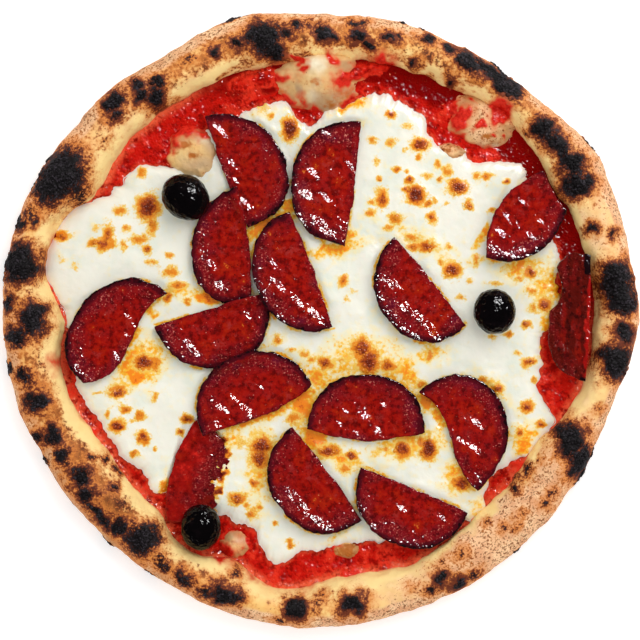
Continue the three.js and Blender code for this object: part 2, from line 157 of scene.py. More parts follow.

# ---- Marks, as baked, and painted shade and highlights ----

# Black spots on the rim: angle, radius, half size along the rim, half size across it, strength
CHARS = [
    (3.8, 143.4, 7, 8, 1), (6.4, 142.6, 5, 7.6, 1), (8.8, 142.8, 6.5, 7.6, 1),
    (16.5, 145, 2.5, 2, 0.8), (18.3, 136, 2, 2, 0.8),
    (27.5, 138.5, 5.5, 6.5, 1), (32, 141, 8, 6, 0.98), (37, 140.4, 8, 5, 0.96), (41, 140, 6, 4.6, 0.96),
    (42.5, 134.5, 2.5, 2, 0.7), (51, 142, 7, 5, 1), (55.5, 143.8, 8, 4, 1), (60, 142, 7, 4.5, 0.95),
    (61, 130, 1.6, 1.6, 0.9), (64.5, 143, 3, 2.5, 0.9), (69, 144, 5, 1.3, 0.85),
    (69.5, 131, 1.6, 2, 0.85), (74, 140, 2.2, 1.6, 0.8), (76.5, 138.5, 3, 2, 0.9),
    (83, 142.5, 7, 1.3, 0.8), (82.5, 136.5, 4.5, 3, 1), (80.3, 133.3, 4, 1.8, 0.95),
    (89, 136, 3.6, 3.6, 1), (91, 138, 3, 2, 0.9), (94, 140.5, 3, 2.5, 0.85), (96.5, 138, 3, 3, 0.85),
    (101.5, 138, 8, 7.5, 1.05), (99.5, 130, 4, 4.5, 1), (106.5, 137, 3.5, 4, 0.9),
    (111.5, 137, 3, 2.5, 0.9), (117, 139, 5.5, 2.5, 0.65), (121, 138, 3, 2, 0.6),
    (124.5, 138, 4, 3.2, 0.9), (128, 141.5, 3.5, 2.2, 0.9), (128.5, 137, 4, 3.5, 0.95),
    (126.5, 131.5, 4.2, 4.2, 1), (133.5, 143.5, 5.5, 3.8, 0.95), (135, 137, 2.5, 2.5, 0.85),
    (140, 132, 4, 2.5, 0.6), (151, 141.5, 13, 9.5, 1.1), (152, 131, 9, 3, 0.75),
    (160.5, 144, 3, 2.5, 0.8), (160, 147, 7, 2.5, 0.7), (162, 151, 4, 2, 0.85),
    (169.5, 145.5, 8.5, 7.7, 1.1), (177, 149, 4, 3, 0.9), (179.5, 136.5, 8, 6, 1),
    (183, 145, 5.5, 5, 0.9), (191, 143, 5, 4, 0.85), (196, 140, 5.5, 5, 0.95),
    (202.5, 146, 4, 3, 0.85), (203.5, 139, 5.5, 4, 0.95), (208, 138, 5, 4, 0.85),
    (213, 137, 5.5, 4.5, 0.92), (217, 138, 5.5, 4, 0.92), (221.5, 141, 7, 3.5, 0.95),
    (226, 138, 5, 4, 0.9), (231, 135, 8, 8, 0.95), (211, 127, 2, 2, 0.75), (213, 124, 2, 1.5, 0.75),
    (216.5, 121.5, 2.5, 1.5, 0.75), (218.5, 128, 3, 2, 0.8), (237, 138, 4.5, 4, 0.75),
    (242, 140, 5, 3.5, 0.85), (247, 140, 4, 3, 0.8), (251, 138.5, 7, 4.2, 1),
    (251.5, 126.5, 2.5, 2, 0.75), (262.5, 144.5, 4, 1.3, 0.7), (265.5, 137.5, 4.3, 4.5, 1),
    (269.5, 135.5, 2, 2, 0.7), (270.5, 130.5, 1.8, 1.5, 0.7), (276.5, 136.5, 6.5, 4.2, 1),
    (289, 135, 6, 2, 0.6), (292, 138, 3.5, 2.5, 0.8), (295, 135.5, 3, 3, 1), (297.5, 143.5, 3, 2.6, 1),
    (296.5, 128.5, 8, 2, 0.6), (301, 131, 3, 2, 0.65), (301, 142, 3, 2.5, 0.8),
    (309, 124.5, 2, 1.5, 0.65), (311.5, 133, 2.5, 2, 0.7), (313.5, 136, 2, 2, 0.65),
    (316, 133, 2.5, 2, 0.65), (319, 122.5, 2, 1.8, 0.75), (321.5, 120.5, 2.5, 2, 0.75),
    (321, 138.5, 3.4, 2.8, 0.7), (323.5, 136.5, 2.5, 2, 0.7), (324, 122.5, 3, 2, 0.75),
    (327.5, 124, 2, 1.5, 0.65), (331.5, 140.4, 9.5, 4.2, 1), (334.5, 131.5, 7.5, 5.5, 1.05),
    (342, 138.5, 2, 1.5, 0.7), (352, 141.4, 8, 6.4, 1.05), (357.5, 143.6, 4, 3.4, 1),
]

# Black blisters on the outermost edge: angle, half size along it, strength
EDGE_CHARS = [
    (32.5, 6, 1), (54.5, 8, 0.9), (71, 2, 0.8), (74.5, 2, 0.8), (80.5, 3, 0.7), (106, 8, 0.8),
    (149.5, 3, 0.9), (155, 4, 0.9), (162, 4, 0.9), (171, 8, 0.9), (188.5, 4, 0.9), (207, 4, 0.7),
    (217, 5, 0.6), (226, 5, 0.9), (236, 5, 0.7), (310.5, 2.5, 0.9), (329, 5, 1), (334, 5, 0.9),
]

# How strongly the crest is speckled brown, evenly spaced round the pizza
SPECKLE = [
    0.25, 0.3, 0.65, 0.75, 0.8, 0.75, 0.85, 0.85, 0.75, 0.7, 0.5, 0.65,
    0.65, 0.8, 0.95, 0.95, 0.75, 0.45, 0.5, 0.4, 0.52, 0.46, 0.52, 0.3,
]
# How floury and pale the crest is, evenly spaced round the pizza
FLOUR = [
    0.25, 0.4, 0.25, 0.2, 0.15, 0.1, 0.1, 0.15, 0.2, 0.3, 0.2, 0.15,
    0.2, 0.1, 0.1, 0.15, 0.1, 0.1, 0.15, 0.35, 0.85, 1.0, 0.65, 0.3,
]

PIXEL = 0.48  # millimetres on the pizza for each pixel of the photo
PHOTO_SIDE = 640
PHOTO_MIDDLE = (320.5, 320)
LIGHT_AZIMUTH = 57
LIGHT_ELEVATION = 43


def from_photo(across, down):
    """Place on the pizza, in millimetres, of a pixel of the photo."""
    return (across - PHOTO_MIDDLE[0]) * PIXEL, (PHOTO_MIDDLE[1] - down) * PIXEL


# Browned bubbles on the cheese: the photo's pixel, half sizes in millimetres, strength
BROWNED = [
    (148, 207, 4.6, 5.6, 1.0), (104, 243, 5.0, 3.2, 0.8), (108, 233, 2.4, 4.6, 0.7),
    (93, 243, 2.6, 2.2, 0.7), (120, 211, 3.4, 2.2, 0.55), (126, 228, 2.0, 2.0, 0.6),
    (140, 239, 4.2, 2.6, 0.6), (152, 226, 2.4, 4.6, 0.6), (148, 250, 2.0, 2.6, 0.75),
    (152, 262, 3.6, 1.8, 0.5), (171, 272, 3.6, 2.4, 0.6), (178, 285, 4.4, 2.0, 0.65),
    (170, 254, 1.8, 1.8, 0.5), (188, 302, 1.6, 1.8, 0.55), (168, 297, 2.2, 3.0, 0.75),
    (62, 262, 2.0, 2.6, 0.35), (75, 265, 1.6, 3.0, 0.35), (96, 228, 2.2, 1.6, 0.4),
    (124, 246, 1.8, 2.4, 0.5), (62, 236, 3.6, 2.4, 0.7), (142, 172, 2.2, 3.0, 0.6),
    (290, 129, 3.6, 5.0, 0.95), (262, 107, 4.0, 3.0, 0.4), (270, 116, 1.8, 1.8, 0.45),
    (391, 115, 2.2, 2.0, 0.8), (407, 128, 3.0, 1.8, 0.35), (373, 140, 2.6, 1.8, 0.5),
    (390, 142, 2.8, 2.4, 0.5), (420, 145, 3.8, 3.0, 0.95), (404, 150, 1.8, 1.4, 0.4),
    (419, 157, 2.0, 1.6, 0.5), (376, 161, 1.6, 2.2, 0.4), (396, 169, 2.0, 1.4, 0.7),
    (406, 170, 1.4, 1.4, 0.4), (380, 178, 1.4, 1.4, 0.6), (409, 180, 1.8, 1.8, 0.75),
    (427, 176, 2.4, 1.8, 0.5), (446, 171, 2.8, 2.6, 0.6), (437, 164, 1.6, 2.0, 0.5),
    (440, 180, 1.6, 1.6, 0.5), (477, 175, 2.6, 2.0, 0.55), (486, 177, 2.2, 2.6, 0.65),
    (458, 187, 4.6, 3.2, 0.95), (416, 195, 4.4, 3.8, 1.0), (407, 190, 2.0, 2.0, 0.7),
    (382, 198, 2.6, 4.8, 0.75), (374, 203, 2.0, 2.0, 0.5), (427, 204, 1.8, 1.4, 0.7),
    (433, 201, 1.4, 1.4, 0.5), (447, 204, 1.8, 1.6, 0.4), (468, 205, 2.4, 2.6, 0.75),
    (371, 213, 2.2, 1.8, 0.6), (396, 219, 3.4, 2.6, 0.65), (388, 228, 2.4, 1.8, 0.5),
    (432, 217, 2.4, 2.8, 0.7), (506, 182, 1.4, 1.6, 0.8), (493, 210, 2.6, 1.8, 0.5),
    (412, 238, 3.6, 2.2, 0.55), (414, 247, 3.0, 1.8, 0.7), (427, 246, 4.4, 2.2, 0.8),
    (447, 247, 2.2, 1.8, 0.45), (452, 270, 4.0, 3.6, 0.85), (440, 262, 1.8, 2.2, 0.5),
    (476, 260, 1.6, 3.0, 0.5), (470, 280, 2.0, 2.6, 0.4), (495, 283, 3.0, 1.6, 0.5),
    (461, 298, 2.2, 1.8, 0.4), (344, 280, 2.2, 2.8, 0.7), (345, 299, 1.6, 1.4, 0.4),
    (352, 290, 3.6, 2.2, 0.25), (530, 272, 3.6, 2.6, 0.75), (520, 280, 2.6, 2.0, 0.5),
    (545, 303, 3.0, 3.6, 0.8), (531, 291, 2.6, 2.4, 0.55), (533, 307, 1.8, 3.0, 0.5),
    (527, 325, 2.0, 1.8, 0.75), (508, 334, 2.6, 1.4, 0.65), (492, 337, 2.2, 1.6, 0.5),
    (528, 362, 3.0, 2.4, 0.8), (517, 353, 2.4, 2.0, 0.4), (527, 407, 3.0, 2.8, 0.85),
    (497, 388, 3.2, 2.2, 0.8), (482, 380, 2.4, 1.8, 0.6), (534, 380, 1.6, 1.8, 0.5),
    (362, 348, 4.6, 5.4, 0.8), (369, 362, 4.4, 5.6, 1.0), (389, 366, 3.8, 2.6, 0.75),
    (325, 363, 3.2, 3.0, 0.8), (341, 360, 3.2, 1.6, 0.45), (313, 359, 3.0, 2.0, 0.5),
    (277, 340, 2.2, 2.6, 0.6), (290, 350, 2.4, 1.6, 0.5), (305, 353, 2.6, 1.6, 0.5),
    (402, 449, 3.4, 4.0, 0.95), (428, 448, 3.8, 5.6, 0.95), (420, 441, 2.0, 2.6, 0.7),
    (385, 450, 3.2, 1.8, 0.5), (352, 455, 3.0, 2.4, 0.8), (328, 451, 5.0, 3.0, 0.85),
    (345, 468, 3.6, 2.4, 0.6), (262, 446, 5.0, 4.6, 0.9), (260, 459, 4.4, 4.4, 0.85),
    (243, 443, 3.0, 2.0, 0.4), (254, 483, 2.2, 1.8, 0.7), (237, 498, 4.0, 2.8, 0.8),
    (252, 513, 3.0, 3.0, 0.6), (260, 507, 1.8, 1.8, 0.6), (247, 505, 2.0, 2.0, 0.5),
    (275, 524, 1.2, 1.0, 0.7), (291, 545, 2.0, 2.4, 0.7), (118, 426, 3.4, 2.8, 0.95),
    (143, 438, 2.6, 3.2, 0.8), (126, 409, 2.4, 2.2, 0.65), (140, 415, 2.4, 2.2, 0.65),
    (133, 421, 1.4, 1.4, 0.4), (108, 414, 1.4, 2.0, 0.5), (134, 454, 1.8, 1.8, 0.6),
    (155, 449, 0.9, 0.9, 0.6), (155, 397, 1.6, 2.2, 0.55), (118, 392, 3.6, 3.0, 0.85),
    (97, 392, 2.0, 1.0, 0.5), (145, 362, 4.4, 3.6, 0.9), (156, 364, 2.6, 3.6, 0.6),
    (143, 345, 1.8, 1.8, 0.4), (180, 432, 2.0, 1.4, 0.85), (187, 419, 2.4, 2.0, 0.85),
    (165, 489, 2.4, 4.0, 0.6), (461, 483, 4.2, 3.0, 0.85), (463, 465, 1.8, 2.6, 0.5),
    (482, 518, 2.6, 2.4, 0.8), (519, 433, 2.0, 2.4, 0.8), (430, 355, 2.0, 3.0, 0.6),
    (422, 385, 2.0, 2.4, 0.6), (295, 418, 3.6, 2.6, 0.6), (541, 424, 2.0, 1.6, 0.8),
]

# Where orange oil has run out of the chorizo: the photo's pixel, half sizes, turn, strength
OIL = [
    (270, 222, 15, 3.6, 42, 1.0), (212, 297, 9, 3.4, -12, 1.0), (178, 290, 6, 4, 20, 0.7),
    (140, 362, 14, 9, 35, 0.75), (137, 378, 5, 3, 20, 1.0), (122, 385, 6, 4, 0, 0.6),
    (300, 400, 16, 7, -50, 0.9), (318, 378, 12, 10, -60, 0.7), (262, 415, 26, 3.6, 22, 0.8),
    (316, 440, 12, 5, -40, 1.0), (335, 455, 12, 5, -25, 0.85), (356, 362, 26, 12, 10, 0.55),
    (402, 372, 14, 8, -50, 0.6), (428, 398, 9, 4, -50, 1.0), (440, 412, 6, 3, -30, 0.8),
    (408, 442, 18, 7, 12, 0.7), (262, 460, 7, 17, 8, 0.75), (255, 500, 6, 12, 20, 0.35),
    (462, 478, 9, 7, 30, 0.8), (484, 510, 8, 9, 20, 0.5), (545, 292, 8, 14, 0, 0.6),
    (522, 268, 9, 5, 10, 0.8), (548, 340, 3.5, 15, 5, 0.8), (566, 285, 4, 8, 0, 0.9),
    (352, 104, 9, 4, 15, 0.75), (333, 250, 16, 3.6, 10, 0.7), (345, 240, 5, 5, 0, 0.7),
    (418, 240, 18, 5, -25, 0.5), (430, 353, 7, 5, 0, 0.6), (400, 385, 16, 5, -40, 0.6),
    (288, 210, 4, 7, 0, 0.6), (250, 240, 4, 3, 0, 0.7), (522, 440, 6, 9, 0, 0.75),
    (490, 388, 9, 5, -35, 0.6), (340, 535, 9, 4, 25, 0.5), (228, 440, 12, 4, 20, 0.6),
    (252, 350, 12, 4, 20, 0.5), (310, 325, 12, 3, 15, 0.3), (262, 108, 7, 6, 20, 0.3),
    (168, 490, 4, 6, 0, 0.6), (480, 262, 8, 3, 0, 0.5), (440, 300, 4, 10, 0, 0.3),
]

# Tomato smeared over the dough: the photo's pixel, half sizes, turn, strength
SMEARS = [
    (500, 112, 4.0, 5.2, 20, 1.0), (496, 121, 3.4, 2.6, -20, 0.95), (450, 108, 5.0, 4.0, 40, 1.0),
    (460, 118, 4.0, 5.0, -30, 1.0), (444, 116, 4.0, 5.0, 0, 0.9), (471, 101, 1.6, 2.0, 0, 0.75),
    (440, 100, 8, 4, -35, 0.9), (479, 126, 3.4, 1.5, 12, 0.9), (503, 138, 1.5, 1.8, 0, 0.75),
    (492, 133, 1.2, 1.0, 0, 0.7), (269, 79, 9.5, 3.2, 4, 1.0), (297, 60, 4.2, 1.9, -10, 0.95),
    (303, 68, 2.4, 2.0, 0, 0.75), (331, 60, 4.4, 1.8, -54, 0.95), (346, 79, 7, 3.4, 24, 1.0),
    (362, 71, 8, 3.8, 24, 1.0), (380, 67, 7, 5.0, 0, 1.0), (362, 93, 3.4, 1.4, 30, 0.5),
    (288, 99, 5, 2.6, -40, 0.85), (248, 80, 8, 3, 15, 0.9), (305, 101, 4, 2, -50, 0.6),
    (185, 128, 13, 4.4, 20, 0.85), (203, 133, 6, 3.6, 0, 0.62), (173, 142, 3.4, 6, 10, 0.66),
    (224, 552, 6.0, 4.0, 0, 1.0), (252, 548, 2.4, 6.0, 14, 0.9), (240, 525, 8.0, 3.0, -10, 0.9),
    (231, 552, 5, 3, 20, 0.8), (246, 534, 4, 2, -40, 0.75),
    (256, 564, 4, 5, 0, 0.9), (54, 241, 2.4, 3.4, 0, 0.5), (57, 362, 4.0, 6.0, 20, 0.5),
    (280, 584, 11, 1.4, -8, 0.6), (330, 545, 5, 2.4, 0, 0.8), (238, 541, 7, 6, 0, 0.36),
    (312, 118, 9, 3, 10, 0.7), (345, 92, 9, 3, 20, 0.3),
]

# Where the sauce is heaped up: the photo's pixel, half sizes, turn, rise in millimetres
HEAPS = [
    (350, 77, 6, 2.8, 24, 2.6), (364, 71, 7, 3.0, 24, 3.0), (380, 65, 5, 2.6, 10, 2.4),
    (270, 79, 9, 3.6, 4, 3.0), (248, 80, 8, 3.4, 15, 2.4), (452, 112, 6, 6, 30, 2.0),
]

# Toasted patches on the bubbles: the photo's pixel, half sizes, strength
TOASTED = [
    (314, 83, 2.4, 2.0, 0.6), (336, 106, 5.0, 2.4, 0.9), (350, 95, 9.0, 4.0, 0.6),
    (272, 91, 7.0, 4.0, 0.6), (184, 147, 2.6, 2.2, 1.0), (194, 156, 2.4, 1.6, 0.8),
    (176, 154, 1.8, 1.6, 0.6), (206, 143, 5.0, 2.0, 0.4), (485, 137, 1.8, 1.6, 0.95),
    (499, 141, 2.0, 1.4, 0.6), (478, 112, 1.6, 6.0, 0.5), (448, 152, 2.0, 1.8, 0.55),
    (458, 150, 2.0, 1.6, 0.55), (472, 96, 5.0, 1.6, 0.5), (347, 549, 4.0, 3.0, 0.9),
    (338, 553, 2.4, 1.6, 0.7), (232, 540, 1.8, 1.4, 0.5),
]

# Painted shade on the bubbles, drawn as greyer dough: the photo's pixel, half sizes, strength
DRAB = [
    (298, 92, 2.6, 6.0, 1.0), (306, 106, 5.0, 2.4, 1.0), (324, 108, 6.0, 2.2, 0.9),
    (336, 98, 2.4, 4.0, 0.9), (318, 84, 4.0, 3.0, 0.8), (352, 93, 13, 4.5, 0.9), (268, 90, 10, 4.0, 0.9),
    (200, 164, 11, 6.0, 0.9), (212, 152, 5, 7.0, 0.6), (460, 132, 8, 3.0, 0.4), (485, 148, 12, 2.0, 0.4),
]

# Painted highlights and the palest dough on the bubbles: the photo's pixel, half sizes, strength
PALE_AND_LIT = [
    (316, 64, 4.2, 3.2, 1.0), (312, 96, 3.0, 1.8, 0.5), (240, 540, 3.0, 2.2, 0.7),
    (486, 150, 7.0, 1.4, 0.6), (205, 139, 3.4, 2.4, 0.5),
]

# Where the slices dip and catch the light: the photo's pixel, size in millimetres
LIT_HOLLOWS = [
    (221, 130, 3.0), (234, 165, 3.2), (236, 180, 3.0), (246, 203, 4.0), (212, 263, 3.4), (219, 284, 3.6),
    (312, 172, 3.0), (306, 195, 4.0), (325, 197, 3.0), (322, 225, 4.0), (350, 165, 2.8), (326, 134, 2.4),
    (272, 262, 3.0), (280, 286, 3.2), (297, 300, 3.0), (313, 312, 3.4), (394, 286, 4.2), (405, 306, 3.6),
    (428, 324, 4.0), (434, 334, 3.4), (515, 226, 3.0), (508, 238, 3.2), (515, 255, 3.8), (524, 253, 3.0),
    (128, 318, 3.2), (127, 334, 3.0), (79, 371, 3.0), (190, 343, 3.0), (194, 352, 2.6), (246, 314, 2.8),
    (222, 408, 4.2), (247, 410, 4.4), (219, 425, 3.4), (290, 405, 2.6), (364, 413, 5.0), (344, 410, 3.0),
    (376, 430, 3.4), (322, 432, 2.8), (478, 424, 3.8), (474, 447, 3.6), (460, 440, 2.6), (434, 408, 2.6),
    (295, 495, 4.4), (302, 508, 4.2), (328, 525, 3.2), (318, 520, 3.0), (372, 526, 3.0), (442, 517, 3.2),
    (402, 508, 2.8), (562, 346, 2.8), (478, 478, 2.6), (500, 234, 2.8), (509, 219, 2.8),
    (530, 236, 2.8), (540, 222, 2.6), (524, 204, 2.4), (496, 250, 2.8), (342, 426, 3.0), (356, 432, 2.8),
    (384, 404, 3.0), (140, 330, 2.8), (118, 356, 2.8), (262, 388, 2.6), (232, 396, 2.6),
]
HOLLOW_SLOPE = 0.52
HOLLOW_TURN = -65  # the way they lie
HOLLOW_STRETCH = (1.4, 0.85)  # how much longer and narrower the hollows are than round ones

# ---- Curves, noise and fields ----


def round_curve(values, angle):
    """Smooth closed curve through values that are evenly spaced round a circle."""
    values = np.asarray(values, float)
    place = np.mod(angle / TAU, 1.0) * len(values)
    step = np.floor(place).astype(int)
    t = place - step
    a, b, c, d = (values[(step + k) % len(values)] for k in (-1, 0, 1, 2))
    return b + 0.5 * t * (c - a + t * (2 * a - 5 * b + 4 * c - d + t * (3 * (b - c) + d - a)))


def smooth(low, high, value):
    """Soft step from 0 at low to 1 at high, where low may be the larger one."""
    t = np.clip((value - low) / (high - low), 0, 1)
    return t * t * (3 - 2 * t)


def flat(x, y):
    """Points at the height of zero."""
    return np.stack([x, y, np.zeros_like(x)], axis=-1)


def ring(radius, angle):
    """Points of a level ring, round or uneven."""
    return flat(radius * np.cos(angle), radius * np.sin(angle))


def noise(points, size, seed):
    """Smooth random values from -1 to 1, in lumps of the given size."""
    place = points / size + 0.37 * seed
    cell = np.floor(place).astype(np.int64)
    t = place - cell
    t = t * t * t * (t * (t * 6 - 15) + 10)
    total = np.zeros(points.shape[:-1])
    for corner in itertools.product((0, 1), repeat=3):
        at = cell + corner
        mixed = at[..., 0] * 73856093 ^ at[..., 1] * 19349663 ^ at[..., 2] * 83492791 ^ seed * 9176
        mixed = ((mixed ^ (mixed >> 13)) * 1274126177) & 0x7FFFFFFF
        mixed = ((mixed ^ (mixed >> 11)) * 362437) & 0x7FFFFFFF
        weight = np.prod(np.where(corner, t, 1 - t), axis=-1)
        total += weight * ((mixed & 0xFFFF) / 32767.5 - 1)
    return total


def rough(points, size, seed, octaves=3):
    """Noise with finer and finer detail."""
    return sum(0.5**k * noise(points, size * 0.5**k, seed + k) for k in range(octaves))


def lumpy(points, layers):
    """Sum of noises, each given by its height, the size of its lumps and its seed."""
    return sum(height * noise(points, size, seed) for height, size, seed in layers)


def warped(x, y, size, reach, seed):
    """The same points pushed about at random, so that round marks come out ragged."""
    points = flat(x, y)
    return x + reach * rough(points, size, seed, 2), y + reach * rough(points, size, seed + 7, 2)


def marks(x, y, places):
    """Strongest of the marks at each point: its strength in the middle, half of it at its edge."""
    field = np.zeros(np.broadcast(x, y).shape)
    for (at_x, at_y), (half_x, half_y), turn, strength in places:
        c, s = math.cos(math.radians(turn)), math.sin(math.radians(turn))
        u = ((x - at_x) * c + (y - at_y) * s) / half_x
        v = ((y - at_y) * c - (x - at_x) * s) / half_y
        field = np.maximum(field, strength * 0.5 ** (u * u + v * v))
    return field


def photo_marks(x, y, listed, size, reach, seed):
    """Ragged marks listed by the photo's pixel, turned where the list gives a turn."""
    places = []
    for across, down, half_x, half_y, *turn, strength in listed:
        places.append((from_photo(across, down), (half_x, half_y), turn[0] if turn else 0, strength))
    return marks(*warped(x, y, size, reach, seed), places)


def bells(x, y, listed):
    """Sum of round swellings, each given by its place, size and rise."""
    return sum(
        rise * np.exp(-((x - at_x) ** 2 + (y - at_y) ** 2) / size**2)
        for (at_x, at_y), size, rise in listed
    )


def on_rim(angle, radius):
    """Place of a listed angle, in degrees, and radius."""
    return radius * math.cos(math.radians(angle)), radius * math.sin(math.radians(angle))


# The rim's unevenness is worked out on rings of these radii
RIM_USUAL_INNER = 120
RIM_USUAL_OUTER = 150


def rim_inner(angle):
    """Radius of the foot of the rim's inner wall, a little uneven."""
    return round_curve(RIM_INNER, angle) + 0.7 * rough(ring(RIM_USUAL_INNER, angle), 7, 3)


def rim_outer(angle):
    """Radius of the rim's outer side, a little uneven."""
    return round_curve(RIM_OUTER, angle) + 0.5 * rough(ring(RIM_USUAL_OUTER, angle), 9, 5)


CHEESE_EDGE_EASE = 1.6  # degrees to each side over which the cheese's listed outline is rounded off
CHEESE_CLIMB = 0.3  # how far the cheese may run up the foot of the rim


def cheese_edge(angle):
    """Radius at which the melted cheese ends."""
    degrees = np.degrees(angle) % 360
    listed_angles, listed_radii = np.array(CHEESE_EDGE, float).T
    spread = np.linspace(-CHEESE_EDGE_EASE, CHEESE_EDGE_EASE, 7)
    turned = [np.interp(degrees + d, listed_angles, listed_radii, period=360) for d in spread]
    radius = np.mean(turned, axis=0)
    points = ring(radius, angle)
    radius = radius + 1.3 * rough(points, 5, 11) + 0.8 * rough(points, 2.0, 14, 2)
    return np.minimum(radius, rim_inner(angle) + CHEESE_CLIMB)


def cheese_top(x, y):
    """Height of the melted cheese, with the solid's long waves."""
    waves = np.sin(x / 17 + 0.6) * np.cos(y / 21) + 0.6 * np.sin((x + y) / 29 + 1.3)
    return CHEESE_TOP + CHEESE_WAVE * waves


outline_angles = np.arange(SIDES) * TAU / SIDES
outline = ring(round_curve(RIM_OUTER, outline_angles), outline_angles)
MIDDLE = (outline.max(axis=0) + outline.min(axis=0)) / 2  # goes to the frame's origin

# ---- Meshes ----


def link(name, data):
    """New object in the scene."""
    made = bpy.data.objects.new(name, data)
    bpy.context.scene.collection.objects.link(made)
    return made


def add_piece(name, points, faces, material, fields=None):
    """Mesh object from points in millimetres. Each field becomes an attribute of its points, and is
    zero at the points beyond its own length."""
    mesh = bpy.data.meshes.new(name)
    mesh.from_pydata(((points - MIDDLE) * MM).tolist(), [], faces)
    for field, values in (fields or {}).items():
        padded = np.zeros(len(points), np.float32)
        padded[: values.size] = values.ravel()
        mesh.attributes.new(field, "FLOAT", "POINT").data.foreach_set("value", padded)
    mesh.shade_smooth()
    mesh.materials.append(material)
    mesh.validate()
    return link(name, mesh)


def rows_round(values, columns):
    """Grids of the rows' values and of the columns' angles, for rows that go once round."""
    return np.meshgrid(values, np.arange(columns) * TAU / columns, indexing="ij")


def closed_faces(rows, columns, first=0):
    """Faces between rows of points that go once round, and fans that close the first and the last
    row. Each fan's middle is a point of its own, and the two come straight after the rows."""
    row, column = np.meshgrid(np.arange(rows - 1), np.arange(columns), indexing="ij")
    after = (column + 1) % columns
    corners = [row * columns + column, (row + 1) * columns + column,
               (row + 1) * columns + after, row * columns + after]
    sides = first + np.stack(corners, axis=-1).reshape(-1, 4)
    middle = first + rows * columns
    end = middle - columns
    here = np.arange(columns)
    following = (here + 1) % columns
    top = np.stack([np.full(columns, middle), first + here, first + following], axis=-1)
    bottom = np.stack([np.full(columns, middle + 1), end + following, end + here], axis=-1)
    return sides.tolist() + top.tolist() + bottom.tolist()


# ---- Materials ----


def linear(code):
    """Linear colour of an sRGB hex value."""
    parts = [int(code[k : k + 2], 16) / 255 for k in (1, 3, 5)]
    return (*(c / 12.92 if c <= 0.04045 else ((c + 0.055) / 1.055) ** 2.4 for c in parts), 1.0)


def add(tree, kind, inputs=None, out=None, **settings):
    """Adds a node, sets it up, fills its inputs with values or links, and returns its output."""
    node = tree.nodes.new(kind)
    for name, value in settings.items():
        setattr(node, name, value)
    for key, value in (inputs or {}).items():
        socket = next(s for s in node.inputs if key in (s.identifier, s.name) and s.enabled)
        if isinstance(value, bpy.types.NodeSocket):
            tree.links.new(value, socket)
        else:
            socket.default_value = value
    shown = [s for s in node.outputs if s.enabled]
    return next((s for s in shown if s.name == out), shown[0] if shown else None)


def per_metre(millimetres):
    """Scale of a pattern whose features have the given size."""
    return 1000 / millimetres


def new_material(name):
    """Empty material and its node tree."""
    material = bpy.data.materials.new(name)
    material.use_nodes = True
    material.node_tree.nodes.clear()
    return material, material.node_tree


def finish_material(tree, colour, bumps, **sockets):
    """The bumps, each a pattern, a strength and a depth in millimetres, the shader and the output."""
    inputs = {key.replace("_", " "): value for key, value in sockets.items()}
    relief = {}
    for pattern, strength, depth in bumps:
        bump = {"Height": pattern, "Strength": strength, "Distance": depth * MM}
        relief = {"Normal": add(tree, "ShaderNodeBump", {**bump, **relief})}
    shader = add(tree, "ShaderNodeBsdfPrincipled", {"Base Color": colour, **relief, **inputs})
    add(tree, "ShaderNodeOutputMaterial", {"Surface": shader})


def layered(tree, colour, layers):
    """Colours laid one over the other, each through its own mask."""
    for mask, over in layers:
        over = linear(over) if isinstance(over, str) else over
        mix = {"Factor_Float": mask, "A_Color": colour, "B_Color": over}
        colour = add(tree, "ShaderNodeMix", mix, data_type="RGBA")
    return colour


def masked(tree, low, high, *terms):
    """Soft step on a sum of fields, each given with its weight."""
    total = 0.0
    for value, weight in terms:
        product = {"Value": value, "Value_001": weight, "Value_002": total}
        total = add(tree, "ShaderNodeMath", product, operation="MULTIPLY_ADD")
    step = {"Value": total, "From Min": low, "From Max": high}
    return add(tree, "ShaderNodeMapRange", step, interpolation_type="SMOOTHSTEP")


def fields_of(tree, *names):
    """Where a point is on the pizza, and the mesh's own fields."""
    found = [add(tree, "ShaderNodeAttribute", attribute_name=name, out="Fac") for name in names]
    return [add(tree, "ShaderNodeTexCoord", out="Object"), *found]


